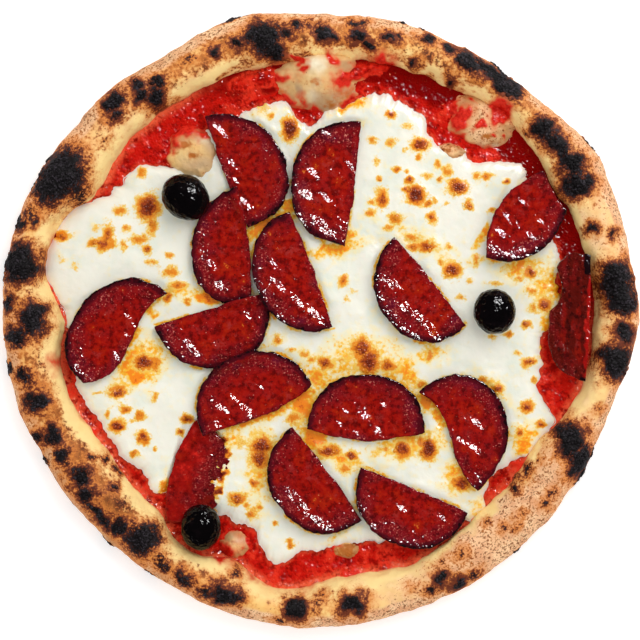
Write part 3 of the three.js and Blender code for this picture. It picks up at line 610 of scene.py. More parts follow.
def baked_dough():
    """Baked wheat dough: floury and matt outside, golden on the crest, charred where it blistered."""
    material, tree = new_material("baked dough")
    place, char, singed, speckle, flour, crest, smear, toast, shade_and_browning, drab_and_shade, melt_and_highlight = fields_of(
        tree, "char", "singed", "speckle", "flour", "crest", "smear", "toast", "shade_and_browning", "drab_and_shade", "melt_and_highlight"
    )
    # Flour and crumb, drawn coarser than they are so that they show, then small blisters, spots,
    # and the unevenness of the oven's heat
    fine, grain, blotch, mottle = (
        add(tree, "ShaderNodeTexNoise", {"Vector": place, "Scale": per_metre(size), "Detail": detail})
        for size, detail in [(0.9, 2), (1.7, 3), (3.4, 4), (9, 4)]
    )
    # Bare dough, golden or dusted with flour
    floury = masked(tree, 0.55, 1.15, (flour, 1.0), (mottle, 0.8), (blotch, 0.2))
    pale = masked(tree, 0.5, 0.8, (blotch, 0.7), (mottle, 0.6))
    roasted = masked(tree, 0.8, 1.5, (crest, 0.7), (mottle, 0.8), (blotch, 0.3), (flour, -0.4))
    dusty = layered(tree, linear("#E6A87A"), [(pale, "#FFD2A2")])
    golden = layered(tree, linear("#FFDE96"), [(roasted, "#F9B65A"), (floury, dusty)])

    # Browned specks and spots
    peppered = masked(tree, 1.24, 1.46, (fine, 1.1), (grain, 0.8), (floury, 0.32))
    freckled = masked(tree, 1.15, 1.75, (speckle, 1.0), (mottle, 0.8), (blotch, 0.6))
    rusty = masked(tree, 1.74, 2.14, (speckle, 1.0), (mottle, 0.7), (blotch, 0.9), (grain, 0.7))
    specked = masked(
        tree, 2.26, 2.56, (speckle, 1.0), (mottle, 0.5), (blotch, 0.9), (grain, 1.2), (fine, 0.4)
    )
    pricked = masked(tree, 2.06, 2.26, (speckle, 0.8), (grain, 0.9), (fine, 1.2), (mottle, 0.7))
    toasted = masked(tree, 0.85, 1.5, (toast, 1.1), (blotch, 0.8), (grain, 0.5))

    # Burnt spots, from the singed dough round them to the ash on them
    burn = [(char, 1.0), (grain, 0.35), (fine, 0.5), (blotch, 0.4)]
    halo = masked(tree, 0.64, 1.06, (singed, 1.0), (mottle, 0.3), (grain, 0.4), (fine, 0.3))
    tanned = masked(tree, 1.02, 1.32, (singed, 1.0), (blotch, 0.3), (grain, 0.5), (fine, 0.5))
    brown = masked(tree, 1.18, 1.42, (singed, 1.0), (grain, 0.5), (fine, 0.7), (blotch, 0.3))
    scorched = masked(tree, 1.02, 1.22, *burn)
    black = masked(tree, 1.12, 1.32, *burn)
    ash = masked(tree, 1.34, 1.72, (fine, 1.2), (mottle, 0.6), (grain, 0.9))

    # Tomato that stained the dough or lies on it
    soaked = masked(tree, 0.42, 1.0, (smear, 1.0), (mottle, 0.5), (blotch, 0.2))
    smeared = masked(tree, 0.8, 1.08, (smear, 1.0), (mottle, 0.5), (grain, 0.3))
    pulpy = masked(tree, 0.85, 1.25, (mottle, 1.0), (grain, 1.1))
    colour = layered(
        tree,
        golden,
        [
            # painted shade with browning: darker tan
            (shade_and_browning, "#BE8450"),
            # greyer dough, with painted shade on the bubbles' shaded sides
            (drab_and_shade, "#BC9C78"),
            (peppered, layered(tree, linear("#DC9A54"), [(floury, "#8E5834")])),
            (freckled, "#E28C3E"),
            (rusty, "#AC5824"),
            (specked, "#66301A"),
            (pricked, "#4E2210"),
            (toasted, "#B86A2A"),
            (halo, "#DA833A"),
            (tanned, "#A6562A"),
            (brown, "#70321C"),
            (scorched, "#401A12"),
            (black, layered(tree, linear("#120D0F"), [(ash, "#3A333A")])),
            # cheese colour where cheese has run over the bubbles' feet, and painted highlights on the
            # bubbles
            (melt_and_highlight, "#EFE3C4"),
            (soaked, "#DC6A3E"),
            (smeared, layered(tree, linear("#BC120A"), [(pulpy, "#E03020")])),
        ],
    )
    roughness = add(tree, "ShaderNodeMapRange", {"Value": smeared, "To Min": 0.7, "To Max": 0.25})
    finish_material(
        tree, colour, [(blotch, 0.5, 0.8), (fine, 0.5, 0.25)],
        Roughness=roughness, IOR=1.45, Specular_IOR_Level=0.14,
    )
    return material


def crushed_tomato():
    """Crushed tomato, cooked but wet: saturated red and pulpy, with small glints."""
    material, tree = new_material("crushed tomato")
    place, pulp, rim_shadow, lit_and_thin = fields_of(tree, "pulp", "rim_shadow", "lit_and_thin")
    # The pulp's grains and small lumps, the ripples of the juice between them, and the large lumps
    fine, grain, film, mottle = (
        add(tree, "ShaderNodeTexNoise", {"Vector": place, "Scale": per_metre(size), "Detail": detail})
        for size, detail in [(0.9, 2), (1.9, 3), (2.1, 1), (6, 4)]
    )
    bright = masked(tree, 0.95, 1.35, (mottle, 1.2), (grain, 0.5), (pulp, 0.4))
    dark = masked(tree, -0.98, -0.7, (mottle, -1.1), (grain, -0.8))
    # painted shadow of the rim on the sauce
    painted_rim_shadow = masked(tree, 0.62, 1.15, (rim_shadow, 1.0), (mottle, 0.7), (grain, 0.3))
    # pale flecks of pulp, and painted glints
    flecks_and_glints = masked(tree, 1.34, 1.46, (grain, 1.3), (fine, 0.8))
    colour = layered(
        tree,
        linear("#C8180E"),
        [
            # painted light along the part of the rim that the lamp reaches, and paler thin sauce at the
            # cheese
            (lit_and_thin, "#F26440"),
            (bright, "#E43420"),
            (dark, "#900C06"),
            (painted_rim_shadow, "#840604"),
            (flecks_and_glints, "#F07858"),
        ],
    )
    finish_material(
        tree, colour, [(mottle, 0.5, 0.6), (film, 1.0, 1.05), (grain, 0.4, 0.25)],
        Roughness=0.08, IOR=1.36, Specular_IOR_Level=0.24,
        Subsurface_Weight=0.05, Subsurface_Radius=(2.5 * MM, 0.8 * MM, 0.5 * MM), Subsurface_Scale=1.0,
    )
    return material


def melted_mozzarella():
    """Melted mozzarella: milky, smooth and moist, browned where it bubbled, orange where oil ran in."""
    material, tree = new_material("melted mozzarella")
    place, brown, oil, blush = fields_of(tree, "brown", "oil", "blush")
    # Specks in the crust, its small bubbles, the pools of oil, and curd that melted unevenly
    fine, grain, blotch, mottle = (
        add(tree, "ShaderNodeTexNoise", {"Vector": place, "Scale": per_metre(size), "Detail": detail})
        for size, detail in [(0.8, 2), (1.6, 3), (4, 4), (14, 3)]
    )
    cool = masked(tree, 0.42, 0.72, (mottle, 1.0))
    buttery = masked(tree, 0.62, 0.95, (blotch, 0.8), (mottle, 0.4), (oil, 0.6), (brown, 0.3))
    yellow = masked(tree, 1.12, 1.42, (oil, 0.9), (blotch, 0.7), (grain, 0.9))
    orange = masked(tree, 1.4, 1.7, (oil, 0.95), (blotch, 0.7), (grain, 1.0))
    rusty = masked(tree, 1.92, 2.2, (oil, 0.95), (blotch, 1.0), (grain, 0.7), (fine, 0.2))
    crust = [(brown, 1.0), (blotch, 0.35), (grain, 0.45), (fine, 0.2)]
    halo = masked(tree, 0.64, 0.84, *crust)
    golden = masked(tree, 0.8, 1.0, *crust)
    toasted = masked(tree, 1.02, 1.26, *crust)
    dark = masked(tree, 1.4, 1.66, (brown, 1.0), (blotch, 0.3), (grain, 0.8), (fine, 0.3))
    blonde = masked(tree, 0.6, 0.7, (grain, 1.0))
    colour = layered(
        tree,
        linear("#F4F1E2"),
        [
            (cool, "#E6E9DA"),
            (buttery, "#FAEAB8"),
            (blush, "#F2D6CA"),
            (yellow, "#FFC632"),
            (orange, "#FF8C12"),
            (rusty, "#D2540E"),
            (halo, "#F7CC60"),
            (golden, "#EA8A18"),
            (toasted, layered(tree, linear("#B24812"), [(blonde, "#E08C28")])),
            (dark, "#76260C"),
        ],
    )
    finish_material(
        tree, colour, [(blotch, 0.5, 0.6), (grain, 0.25, 0.3)],
        Roughness=0.28, IOR=1.4, Specular_IOR_Level=0.4,
        Subsurface_Weight=0.15, Subsurface_Radius=(3 * MM, 2 * MM, 1.5 * MM), Subsurface_Scale=1.0,
    )
    return material


def cured_chorizo():
    """Cured chorizo, hot from the oven: dark paprika red, marbled with fat and shiny with its oil."""
    material, tree = new_material("cured chorizo")
    place, casing, outer, dull, strip = fields_of(tree, "casing", "outer", "dull", "strip")
    # Crumbs of fat, minced meat, the ripples of the oil, marbling, and lean and fatty parts
    fine, grain, film, marble, lean = (
        add(
            tree, "ShaderNodeTexNoise",
            {"Vector": place, "Scale": per_metre(size), "Detail": detail, "Roughness": roughness},
        )
        for size, detail, roughness in [
            (0.8, 2, 0.5), (1.6, 3, 0.5), (2.0, 1, 0.5), (3, 5, 0.6), (10, 3, 0.5),
        ]
    )
    # The greyed colour of a noise differs from its value, so these are patterns of their own
    smear, shade = (
        add(
            tree, "ShaderNodeTexNoise", {"Vector": place, "Scale": per_metre(size), "Detail": 3},
            out="Color",
        )
        for size in (5, 9)
    )
    marbled = masked(tree, 0.58, 1.2, (lean, 1.3), (outer, 0.45))
    dark = masked(tree, -0.52, -0.36, (marble, -1.0))
    red = masked(tree, 0.98, 1.3, (marble, 1.3), (lean, 0.7))
    # pinkish greasy patches with a painted sheen
    greasy_sheen = masked(tree, 1.04, 1.3, (smear, 1.4), (fine, 0.3), (grain, 0.3), (casing, -0.3))
    purple = masked(tree, 0.74, 1.0, (shade, 1.0), (marbled, 0.3))
    glow = masked(tree, -0.24, 0.2, (lean, -1.6), (marble, 1.1), (casing, -0.5))
    ember = masked(tree, 1.13, 1.3, (glow, 0.5), (grain, 1.2), (dull, -1.0))
    speckled = masked(tree, 1.0, 1.3, (fine, 0.9), (grain, 0.6), (marbled, 0.25), (casing, -0.05))
    # pale flecks of fat, and painted glints
    flecks_and_glints = masked(tree, 1.61, 1.76, (fine, 1.3), (grain, 1.0), (marbled, 0.2), (casing, -0.1))
    pits = masked(tree, -0.8, -0.64, (fine, -1.1), (grain, -1.0), (marbled, 0.06))
    edge = masked(tree, 0.4, 0.9, (casing, 0.8), (grain, 0.3), (marble, 0.3))
    rind = masked(tree, 1.4, 1.62, (casing, 1.0), (grain, 0.6), (marble, 0.5))
    meat = layered(
        tree,
        linear("#960F08"),
        [(dark, "#6C0906"), (red, "#B01A0D"), (glow, "#A6200B"), (greasy_sheen, "#A02C28")],
    )
    fatty = layered(
        tree, linear("#7C1219"), [(dark, "#520A10"), (purple, "#641228"), (speckled, "#B84E46")]
    )
    colour = layered(
        tree,
        meat,
        [
            (marbled, fatty),
            (ember, "#CA6420"),
            (edge, layered(tree, linear("#4C0C16"), [(speckled, "#74202A")])),
            (pits, "#50090B"),
            (flecks_and_glints, "#CC7868"),
            (dull, layered(tree, linear("#5A0F09"), [(dark, "#380807"), (speckled, "#7A2018")])),
            (rind, "#1A0A0E"),
            (strip, layered(tree, linear("#A0100C"), [(red, "#D4261C")])),
        ],
    )
    # The oil's ripples are deeper where the slice is fatty or curled
    wet = add(tree, "ShaderNodeMapRange", {"Value": marbled, "To Min": 0.7, "To Max": 1.0})
    curled = {"Value": dull, "Value_001": 0.7, "Value_002": wet}
    depth = add(tree, "ShaderNodeMath", curled, operation="MULTIPLY_ADD")
    ripples = add(tree, "ShaderNodeMath", {"Value": film, "Value_001": depth}, operation="MULTIPLY")
    roughness = add(tree, "ShaderNodeMapRange", {"Value": dull, "To Min": 0.1, "To Max": 0.14})
    finish_material(
        tree, colour, [(ripples, 1.0, 0.7), (fine, 0.3, 0.15)],
        Roughness=roughness, IOR=1.46, Specular_IOR_Level=0.45,
    )
    return material


def black_olive():
    """Black olive, baked whole: taut, oiled skin with fine wrinkles."""
    material, tree = new_material("black olive")
    (place,) = fields_of(tree)
    # Fine wrinkles, drawn as coarse as they need to show, and patches where the skin is thinner
    grain, mottle = (
        add(tree, "ShaderNodeTexNoise", {"Vector": place, "Scale": per_metre(size), "Detail": detail})
        for size, detail in [(1.9, 1), (6, 2)]
    )
    brownish = masked(tree, 0.5, 0.8, (mottle, 1.0))
    colour = layered(tree, linear("#080607"), [(brownish, "#120C0E")])
    finish_material(
        tree, colour, [(grain, 0.8, 0.75)], Roughness=0.09, IOR=1.3, Specular_IOR_Level=0.3
    )
    return material


DOUGH = baked_dough()
TOMATO = crushed_tomato()
MOZZARELLA = melted_mozzarella()
CHORIZO = cured_chorizo()
OLIVE = black_olive()

# ---- Dough: base and risen rim ----

CHAR_CONTRAST = 1.6  # how much paler than black the weaker marks come out
SINGED_REACH = 2.4  # how far the dough round a black spot is singed
SMEAR_THICKNESS = 0.9
RIM_AROUND = 1280
RIM_INSIDE_ROWS = 30
RIM_OUTSIDE_ROWS = 26
RIM_UNDER_ROWS = 9
RIM_LUMPS = [(1.5, 24, 1), (1.1, 11, 2), (0.5, 5, 6)]  # height, size and seed of each noise
RIM_EDGE_RADIUS = 148
BROWNED_AND_SHADED_SIDE = 190  # the outer side of the rim is browner, and painted darker as shade, towards this angle
BROWNED_AND_SHADED_WALL = 92  # and its inner wall, painted browner as shade too, towards this one


def char_field(x, y, wider=0.0):
    """The black spots on the rim, or the singed dough round them."""
    spots = [
        (on_rim(angle, radius), (along + wider, across + wider), angle + 90, strength**CHAR_CONTRAST)
        for angle, radius, along, across, strength in CHARS
    ]
    return marks(*warped(x, y, 5.5, 2.3, 21), spots)


def edge_char_field(points, angle, place):
    """The black blisters on the outermost edge."""
    low = 1.62 + 0.25 * noise(points, 6, 71)
    outer_side = smooth(low, low + 0.3, place)
    field = np.zeros_like(place)
    for at, half, strength in EDGE_CHARS:
        turned = np.abs((np.degrees(angle) - at + 180) % 360 - 180)
        away = turned * math.radians(1) * RIM_EDGE_RADIUS
        field = np.maximum(field, strength * 0.5 ** ((away / half) ** 2) * outer_side)
    return field


def smear_field(x, y):
    """The tomato smeared over the dough."""
    return photo_marks(x, y, SMEARS, size=4, reach=1.9, seed=33)


def smear_rise(points, smear):
    """How far smeared tomato stands up from the dough."""
    return SMEAR_THICKNESS * smooth(0.4, 0.75, smear) * (0.8 + 0.4 * rough(points, 3.0, 35))


def surface_normals(points):
    """Unit normals of a grid of points that closes on itself along its columns."""
    along = np.roll(points, -1, axis=1) - np.roll(points, 1, axis=1)
    across = np.gradient(points, axis=0)
    normals = np.cross(across, along)
    return normals / np.maximum(np.linalg.norm(normals, axis=-1, keepdims=True), 1e-9)


def rim_profile(inner, outer, crest):
    """Rows of radii and heights up the inner wall, over the crest and down to the underside, with
    each row's place: 0 at the foot of the wall, 1 on the crest, 2 at the widest, 3 underneath."""
    quarter = math.pi / 2
    top = inner + RIM_CREST_PLACE * (outer - inner)
    foot_heights = [DOUGH_TOP, (DOUGH_TOP + RIM_FOOT_HEIGHT) / 2]
    rows = [(0.0, inner, np.full_like(inner, height)) for height in foot_heights]
    for turn in np.linspace(0, quarter, RIM_INSIDE_ROWS):
        height = RIM_FOOT_HEIGHT + (crest - RIM_FOOT_HEIGHT) * math.sin(turn)
        rows.append((turn / quarter, top - (top - inner) * math.cos(turn), height))
    for turn in np.linspace(0, quarter, RIM_OUTSIDE_ROWS + 1)[1:]:
        height = RIM_WIDEST_HEIGHT + (crest - RIM_WIDEST_HEIGHT) * math.cos(turn)
        rows.append((1 + turn / quarter, top + (outer - top) * math.sin(turn), height))
    for turn in np.linspace(0, quarter, RIM_UNDER_ROWS + 1)[1:]:
        height = np.full_like(outer, RIM_WIDEST_HEIGHT * (1 - math.sin(turn)))
        rows.append((2 + turn / quarter, outer - RIM_UNDERCUT * (1 - math.cos(turn)), height))
    place, radius, height = (np.array(values) for values in zip(*rows))
    return place[:, None] + np.zeros_like(inner), radius, height


def make_dough():
    """The flat base and the risen rim, with a field for each thing that the oven and the sauce did, and for
    the painted shade on the sides that face away from the light.
    """
    angle = np.arange(RIM_AROUND) * TAU / RIM_AROUND
    inner, outer = rim_inner(angle), rim_outer(angle)
    place, radius, height = rim_profile(inner, outer, round_curve(RIM_CREST, angle))
    x, y = radius * np.cos(angle), radius * np.sin(angle)
    points = np.stack([x, y, height], axis=-1)

    # Lumps all over, crackle where it is burnt, blisters on the crest and tomato on its inner side
    char = char_field(x, y) * smooth(2.35, 1.9, place)
    singed = char_field(x, y, SINGED_REACH) * smooth(2.2, 1.7, place)
    char = np.maximum(char, edge_char_field(points, angle, place))
    skin = smooth(2.9, 2.3, place) * smooth(-0.05, 0.2, place)
    lumps = lumpy(points, RIM_LUMPS) * (1 - 0.6 * smooth(1.4, 1.9, place))
    crackle = char * (0.5 + 0.35 * rough(points, 2.4, 8))
    relief = skin * (lumps + crackle + 0.12 * rough(points, 2.0, 9))
    points += surface_normals(points) * relief[..., None]
    blisters = [(on_rim(angle, radius), size, rise) for angle, radius, size, rise in BLISTERS]
    points[..., 2] += bells(x, y, blisters) * smooth(2.0, 1.3, place) * smooth(0, 0.3, place)
    smear = smear_field(x, y)
    points[..., 2] += skin * smear_rise(points, smear)
    points[..., 2] = np.maximum(points[..., 2], 0)

    # The outer side is floury, and parts of the crest are speckled or floury
    speckled = round_curve(SPECKLE, angle)
    floury = round_curve(FLOUR, angle) * smooth(0.15, 0.8, place + 0.2 * noise(points, 8, 45))
    # The sauce has stained the foot of the inner wall, most where the cheese leaves it open
    inner_side = smooth(1.0, 0.5, place)
    above = points[..., 2] - RIM_FOOT_HEIGHT - 1.2 * noise(points, 9, 41) - 0.6 * noise(points, 3, 42)
    stained = np.maximum(0.51 * smooth(1.2, 0.0, above), 0.36 * smooth(4.5, 0.5, above)) * inner_side
    stained *= 0.4 + 0.6 * smooth(1, 5, inner - cheese_edge(angle))
    # Browning and painted shade: one part of the outer side and one of the inner wall, both facing away from
    # the light, are painted browner and darker
    toward_shaded_side = smooth(-0.1, 0.5, np.cos(angle - math.radians(BROWNED_AND_SHADED_SIDE)))
    browned = smooth(0.45, 0.95, speckled) * toward_shaded_side * smooth(1.15, 1.6, place)
    toward_shaded_wall = smooth(0.6, 0.9, np.cos(angle - math.radians(BROWNED_AND_SHADED_WALL))) * inner_side
    patchy = smooth(-0.6, 0.3, lumpy(points, [(1, 9, 46), (0.5, 3, 47)]))
    fields = {
        "char": char,
        # the inner wall that faces away from the light is painted singed: painted shade with browning
        "singed": np.maximum(np.maximum(singed, char), 0.48 * toward_shaded_wall * patchy),
        "speckle": speckled * smooth(0.25, 0.8, place) * smooth(1.65, 1.2, place),
        "flour": np.maximum(smooth(1.1, 1.5, place), floury),
        "crest": np.maximum(0.5, smooth(0.3, 1.0, place)),
        "smear": np.maximum(smear, stained),
        "blistered": smooth(0.45, 0.75, char + 0.3 * noise(points, 4, 43)) * smooth(2.2, 2.0, place),
        # painted shade towards the widest edge, and on the browned side that faces away from the light
        "shade_and_browning": np.maximum(0.2 * smooth(1.5, 2.1, place), 0.6 * browned * (1 + 0.8 * noise(points, 6, 44))),
        **dict.fromkeys(("toast", "drab_and_shade", "melt_and_highlight"), np.zeros_like(char)),  # only on the bubbles
    }
    points = np.vstack([points.reshape(-1, 3), [0, 0, DOUGH_TOP], [0, 0, 0]])
    return add_piece("dough", points, closed_faces(*place.shape), DOUGH, fields)


# ---- Dough bubbles ----

# How each fine bubble differs from its solid: how much wider it spreads at its foot, along and
# across, how far it lies nearer to the rim, how full, how speckled and how drab it is
BUBBLE_LOOKS = [
    (1.2, 1.5, 3.0, 2.8, 0.42, 0.5),
    (1.2, 1.4, 1.5, 2.6, 0.45, 0.15),
    (1.2, 1.2, -1, 4.5, 0.45, 0.3),
    (1.15, 1.15, 0, 3.0, 0.6, 0.1),
    (1.2, 1.2, 0, 3.0, 0.6, 0.2),
    (1.5, 1.3, 0, 2.6, 0.3, 0.25),
]
BUBBLE_AROUND = 128
BUBBLE_RINGS = 44
# Swellings and dents on the bubbles: place, size, rise
SWELLINGS = [
    ((-2.4, 111.0), 7.5, 3.6), ((-2.4, 124), 6.5, 3.6), ((-17, 110), 6, -2.6), ((13, 110), 6, -2.4),
    ((71, 97), 6, -1.6), ((85, 99), 5, -1.2), ((80, 87.5), 6, 1.2), ((68, 92), 4.5, 1.0),
]


def make_bubbles():
    """The bubbles that stand up through the sauce, as one piece."""
    points, faces, shares, speckle, drab_and_shade = [], [], [], [], []
    bubble_rings = np.linspace(0.02, 1, BUBBLE_RINGS)
    for number, (bubble, looks) in enumerate(zip(BUBBLES, BUBBLE_LOOKS)):
        (at_x, at_y), (half_x, half_y), top, turn = bubble
        spread_x, spread_y, nearer, fullness, speckled, drabness = looks
        share, step = rows_round(bubble_rings, BUBBLE_AROUND)
        around = np.stack([2 * np.cos(step), 2 * np.sin(step), np.full_like(step, number)], axis=-1)
        edge = 1 + 0.14 * rough(around, 1.0, 50)
        u = half_x * spread_x * share * edge * np.cos(step)
        v = half_y * spread_y * share * edge * np.sin(step)
        c, s = math.cos(math.radians(turn)), math.sin(math.radians(turn))
        outward = 1 + nearer / math.hypot(at_x, at_y)
        x, y = at_x * outward + u * c - v * s, at_y * outward + u * s + v * c
        z = BUBBLE_ROOT + (top - BUBBLE_ROOT) * (1 - share**fullness)
        lumps = 0.9 * noise(flat(x, y), 7, 51) + 0.4 * rough(flat(x, y), 3, 52)
        lumps += bells(x, y, SWELLINGS) + smear_rise(flat(x, y), smear_field(x, y))
        z += lumps * smooth(1, 0.8, share)
        faces += closed_faces(BUBBLE_RINGS + 1, BUBBLE_AROUND, len(points))
        points.extend(np.stack([x, y, z], axis=-1).reshape(-1, 3))
        points.extend(np.stack([x[-1], y[-1], np.full_like(x[-1], BUBBLE_SOLE)], axis=-1))
        points.extend([[at_x * outward, at_y * outward, height] for height in (z[0].mean(), BUBBLE_SOLE)])
        shares.append(np.concatenate([share.ravel(), np.ones(BUBBLE_AROUND), [0, 1]]))
        speckle.append(np.full_like(shares[-1], speckled))
        drab_and_shade.append(np.full_like(shares[-1], drabness))
    points, share = np.array(points), np.concatenate(shares)
    x, y = points[:, 0], points[:, 1]
    angle, radius = np.arctan2(y, x), np.hypot(x, y)
    foot = smooth(0.62, 1.05, share + 0.16 * rough(flat(x, y), 6, 53))
    on_cheese = smooth(-2, 2, cheese_edge(angle) - radius)
    off_rim = smooth(-1, 4, rim_inner(angle) - radius)
    fields = {
        **dict.fromkeys(("char", "singed"), np.zeros_like(x)),  # only on the rim
        "speckle": np.concatenate(speckle),
        "flour": 0.45 * smooth(40, 50, x),  # the bubbles on the right are the floury ones
        "crest": np.full_like(x, 0.9),
        "smear": np.maximum(smear_field(x, y), 0.9 * foot * (1 - on_cheese) * off_rim),
        "toast": photo_marks(x, y, TOASTED, size=4, reach=1.6, seed=37),
        # painted shade in patches on the bubbles' flanks
        "shade_and_browning": 0.8 * smooth(-0.3, 0.4, rough(flat(x, y), 8, 54)) * smooth(0.25, 0.55, share),
        # the bubbles' greyer tone, and painted shade on their shaded sides
        "drab_and_shade": np.maximum(np.concatenate(drab_and_shade), photo_marks(x, y, DRAB, size=5, reach=1.6, seed=38)),
        # cheese over the bubbles' feet, and painted highlights
        "melt_and_highlight": np.maximum(foot * on_cheese, photo_marks(x, y, PALE_AND_LIT, size=4, reach=1.6, seed=39)),
    }
    return add_piece("dough_bubbles", points, faces, DOUGH, fields)


# ---- Tomato sauce ----

SAUCE_AROUND = 1240
SAUCE_ROWS = 40
SAUCE_UNDER_CHEESE = 5.0  # how far the fine part of the sauce reaches in under the cheese
SAUCE_TUCK = 0.8  # how far it runs into the foot of the rim
SAUCE_CLIMB = 0.9  # and how far up
SAUCE_PRESSED = SAUCE_TOP - 0.3  # its height under the cheese
SAUCE_SOLE = DOUGH_TOP + 0.1
SAUCE_LUMPS = [(0.45, 9, 61), (0.28, 4.2, 62), (0.22, 2.0, 63)]  # height, size and seed of each noise


def make_sauce():
    """The layer of sauce: fine where it shows, and plain under the cheese."""
    angle = np.arange(SAUCE_AROUND) * TAU / SAUCE_AROUND
    cheese_end = cheese_edge(angle)
    start, end = cheese_end - SAUCE_UNDER_CHEESE, rim_inner(angle) + SAUCE_TUCK
    radius = start + (end - start) * np.linspace(0, 1, SAUCE_ROWS)[:, None]
    x, y = radius * np.cos(angle), radius * np.sin(angle)
    ground = flat(x, y)
    to_rim, to_cheese = end - radius, radius - cheese_end

    # Lumpy, heaped up in places, rising a little at the rim and pressed flat under the cheese
    lumps = lumpy(ground, SAUCE_LUMPS)
    heaped = sum(photo_marks(x, y, [heap], size=4, reach=1.5, seed=67) for heap in HEAPS)
    z = SAUCE_TOP + lumps + 0.1 * noise(ground, 1.1, 64)
    z += SAUCE_CLIMB * smooth(3.5, 0, to_rim) + heaped * smooth(0, 2.5, to_rim)
    under = smooth(2.5, 4.5, -to_cheese)
    z = z * (1 - under) + SAUCE_PRESSED * under
    sole = np.stack([x[-1], y[-1], np.full_like(x[-1], SAUCE_SOLE)], axis=-1)
    points = np.stack([x, y, z], axis=-1).reshape(-1, 3)
    points = np.vstack([points, sole, [0, 0, SAUCE_PRESSED], [0, 0, SAUCE_SOLE]])

    # Painted shadow: darker in the shadow of the lit side's rim. Painted light: lighter along the rest of
    # the rim, where the lamp reaches the sauce, and lighter where it is thin at the cheese
    toward_light = smooth(0.3, 0.85, np.cos(angle - math.radians(LIGHT_AZIMUTH)))
    shadow = smooth(15, 6, to_rim + 3 * noise(ground, 8, 65))
    bared = smooth(0.1, -0.6, -to_cheese) * smooth(0.8, 1.8, to_rim)
    fields = {
        "pulp": np.maximum(smooth(-0.1, 0.45, lumps), 0.45 * smooth(0.5, 1.5, heaped)),
        "rim_shadow": toward_light * shadow * smooth(1.5, 0.3, heaped),
        # painted light where the rim leaves the sauce lit, and thin sauce at the cheese's edge
        "lit_and_thin": np.maximum(smooth(5.5, 0.5, to_rim) * (1 - toward_light), 0.5 * smooth(2.5, 0.5, to_cheese)),
        "strewn": bared * (0.5 + 0.5 * noise(ground, 5, 66)),
    }
    return add_piece("tomato_sauce", points, closed_faces(SAUCE_ROWS + 1, SAUCE_AROUND), TOMATO, fields)


# ---- Chorizo ----

SLICE_ROUND_STEPS = 118
SLICE_CUT_STEPS = 66
SLICE_RINGS = 30
SLICE_MIDDLE = 0.4  # share of a slice's depth at which its rings are centred
# Rings that end a slice: share of the way out to the outline, share of the way down to the underside
EDGE_RINGS = [(0.985, 0), (1.0, 0.15), (1.003, 0.5), (1.0, 0.85), (0.985, 1), (0.75, 1), (0.4, 1)]
SLICE_RAGGEDNESS = [(0.7, 8, 81), (0.45, 2.6, 82), (0.25, 1.1, 87)]  # height, size and seed
SLICE_RELIEF = [(0.5, 12, 83), (0.24, 4.5, 84), (0.08, 1.7, 85)]  # height, size and seed
SLICE_GAP = 0.2  # left below a slice that lies over another
SLICE_THINNEST = 0.6  # how thin the slice below may be pressed
COVERED_OUT = 16.5  # how far out from the sunk slice's cut edge the cheese has run over it


def covered_line(ground, out):
    """How far inside a slice a place is from where the cheese has run over the sunk one."""
    return COVERED_OUT - out - 2.6 * rough(ground, 5, 91)


def in_slice(piece, x, y):
    """Place of a point in a slice's own frame: along the cut edge, and out to the round edge."""
    turn = math.radians(piece["faces"])
    dx, dy = x - piece["cut"][0], y - piece["cut"][1]
    out = dx * math.cos(turn) + dy * math.sin(turn)
    lean = piece["skew"] * np.maximum(out, 0) / piece["depth"]
    return -dx * math.sin(turn) + dy * math.cos(turn) - lean, out


def from_slice(piece, along, out):
    """Place on the pizza of a point in a slice's own frame."""
    turn = math.radians(piece["faces"])
    leaned = along + piece["skew"] * np.maximum(out, 0) / piece["depth"]
    return (piece["cut"][0] + out * math.cos(turn) - leaned * math.sin(turn),
            piece["cut"][1] + out * math.sin(turn) + leaned * math.cos(turn))


def reach_of(piece, along, out):
    """How far out a place of a slice is: 0 at the middle of the cut edge, 1 on the round edge."""
    shares = np.abs(2 * along / piece["length"]), np.maximum(out, 0) / piece["depth"]
    return sum(share ** piece["fullness"] for share in shares) ** (1 / piece["fullness"])


def outside_slice(piece, x, y):
    """Distance from a slice's edge, zero inside it."""
    along, out = in_slice(piece, x, y)
    behind = np.maximum(0, np.maximum(-out - piece["belly"], np.abs(along) - piece["length"] / 2))
    beyond = np.maximum(0, reach_of(piece, along, out) - 1) * piece["depth"]
    return np.where(out < 0, behind, beyond)


def slices_over(piece):
    """The slices that lie over this one."""
    return [other for other in SLICES if piece["name"] in other["over"]]


def slice_underside(piece, x, y):
    """Height of a slice's underside: on the cheese, over earlier slices, cupped and tilted."""
    along, out = in_slice(piece, x, y)
    reach = np.minimum(1, reach_of(piece, along, out))
    share = np.clip(out / piece["depth"], 0, 1)
    tilt = piece["lift"][0] * (1 - share) + piece["lift"][1] * share
    ground = np.full_like(x, SAUCE_TOP) if piece["sunk"] else cheese_top(x, y)
    for lower in SLICES:
        if lower["name"] in piece["over"]:
            drop = STACK_SLOPE * outside_slice(lower, x, y)
            ground = np.maximum(ground, slice_underside(lower, x, y) + SLICE_THICKNESS - drop)
    freedom = np.ones_like(x)
    for upper in slices_over(piece):
        freedom *= np.minimum(1, outside_slice(upper, x, y) / PRESS_REACH)
    return ground + CLEARANCE + piece["curl"] * reach**3 * freedom + tilt


def fuller(values, fullness):
    """Sines or cosines of a rounder or fuller curve than a circle."""
    return np.sign(values) * np.abs(values) ** (2 / fullness)


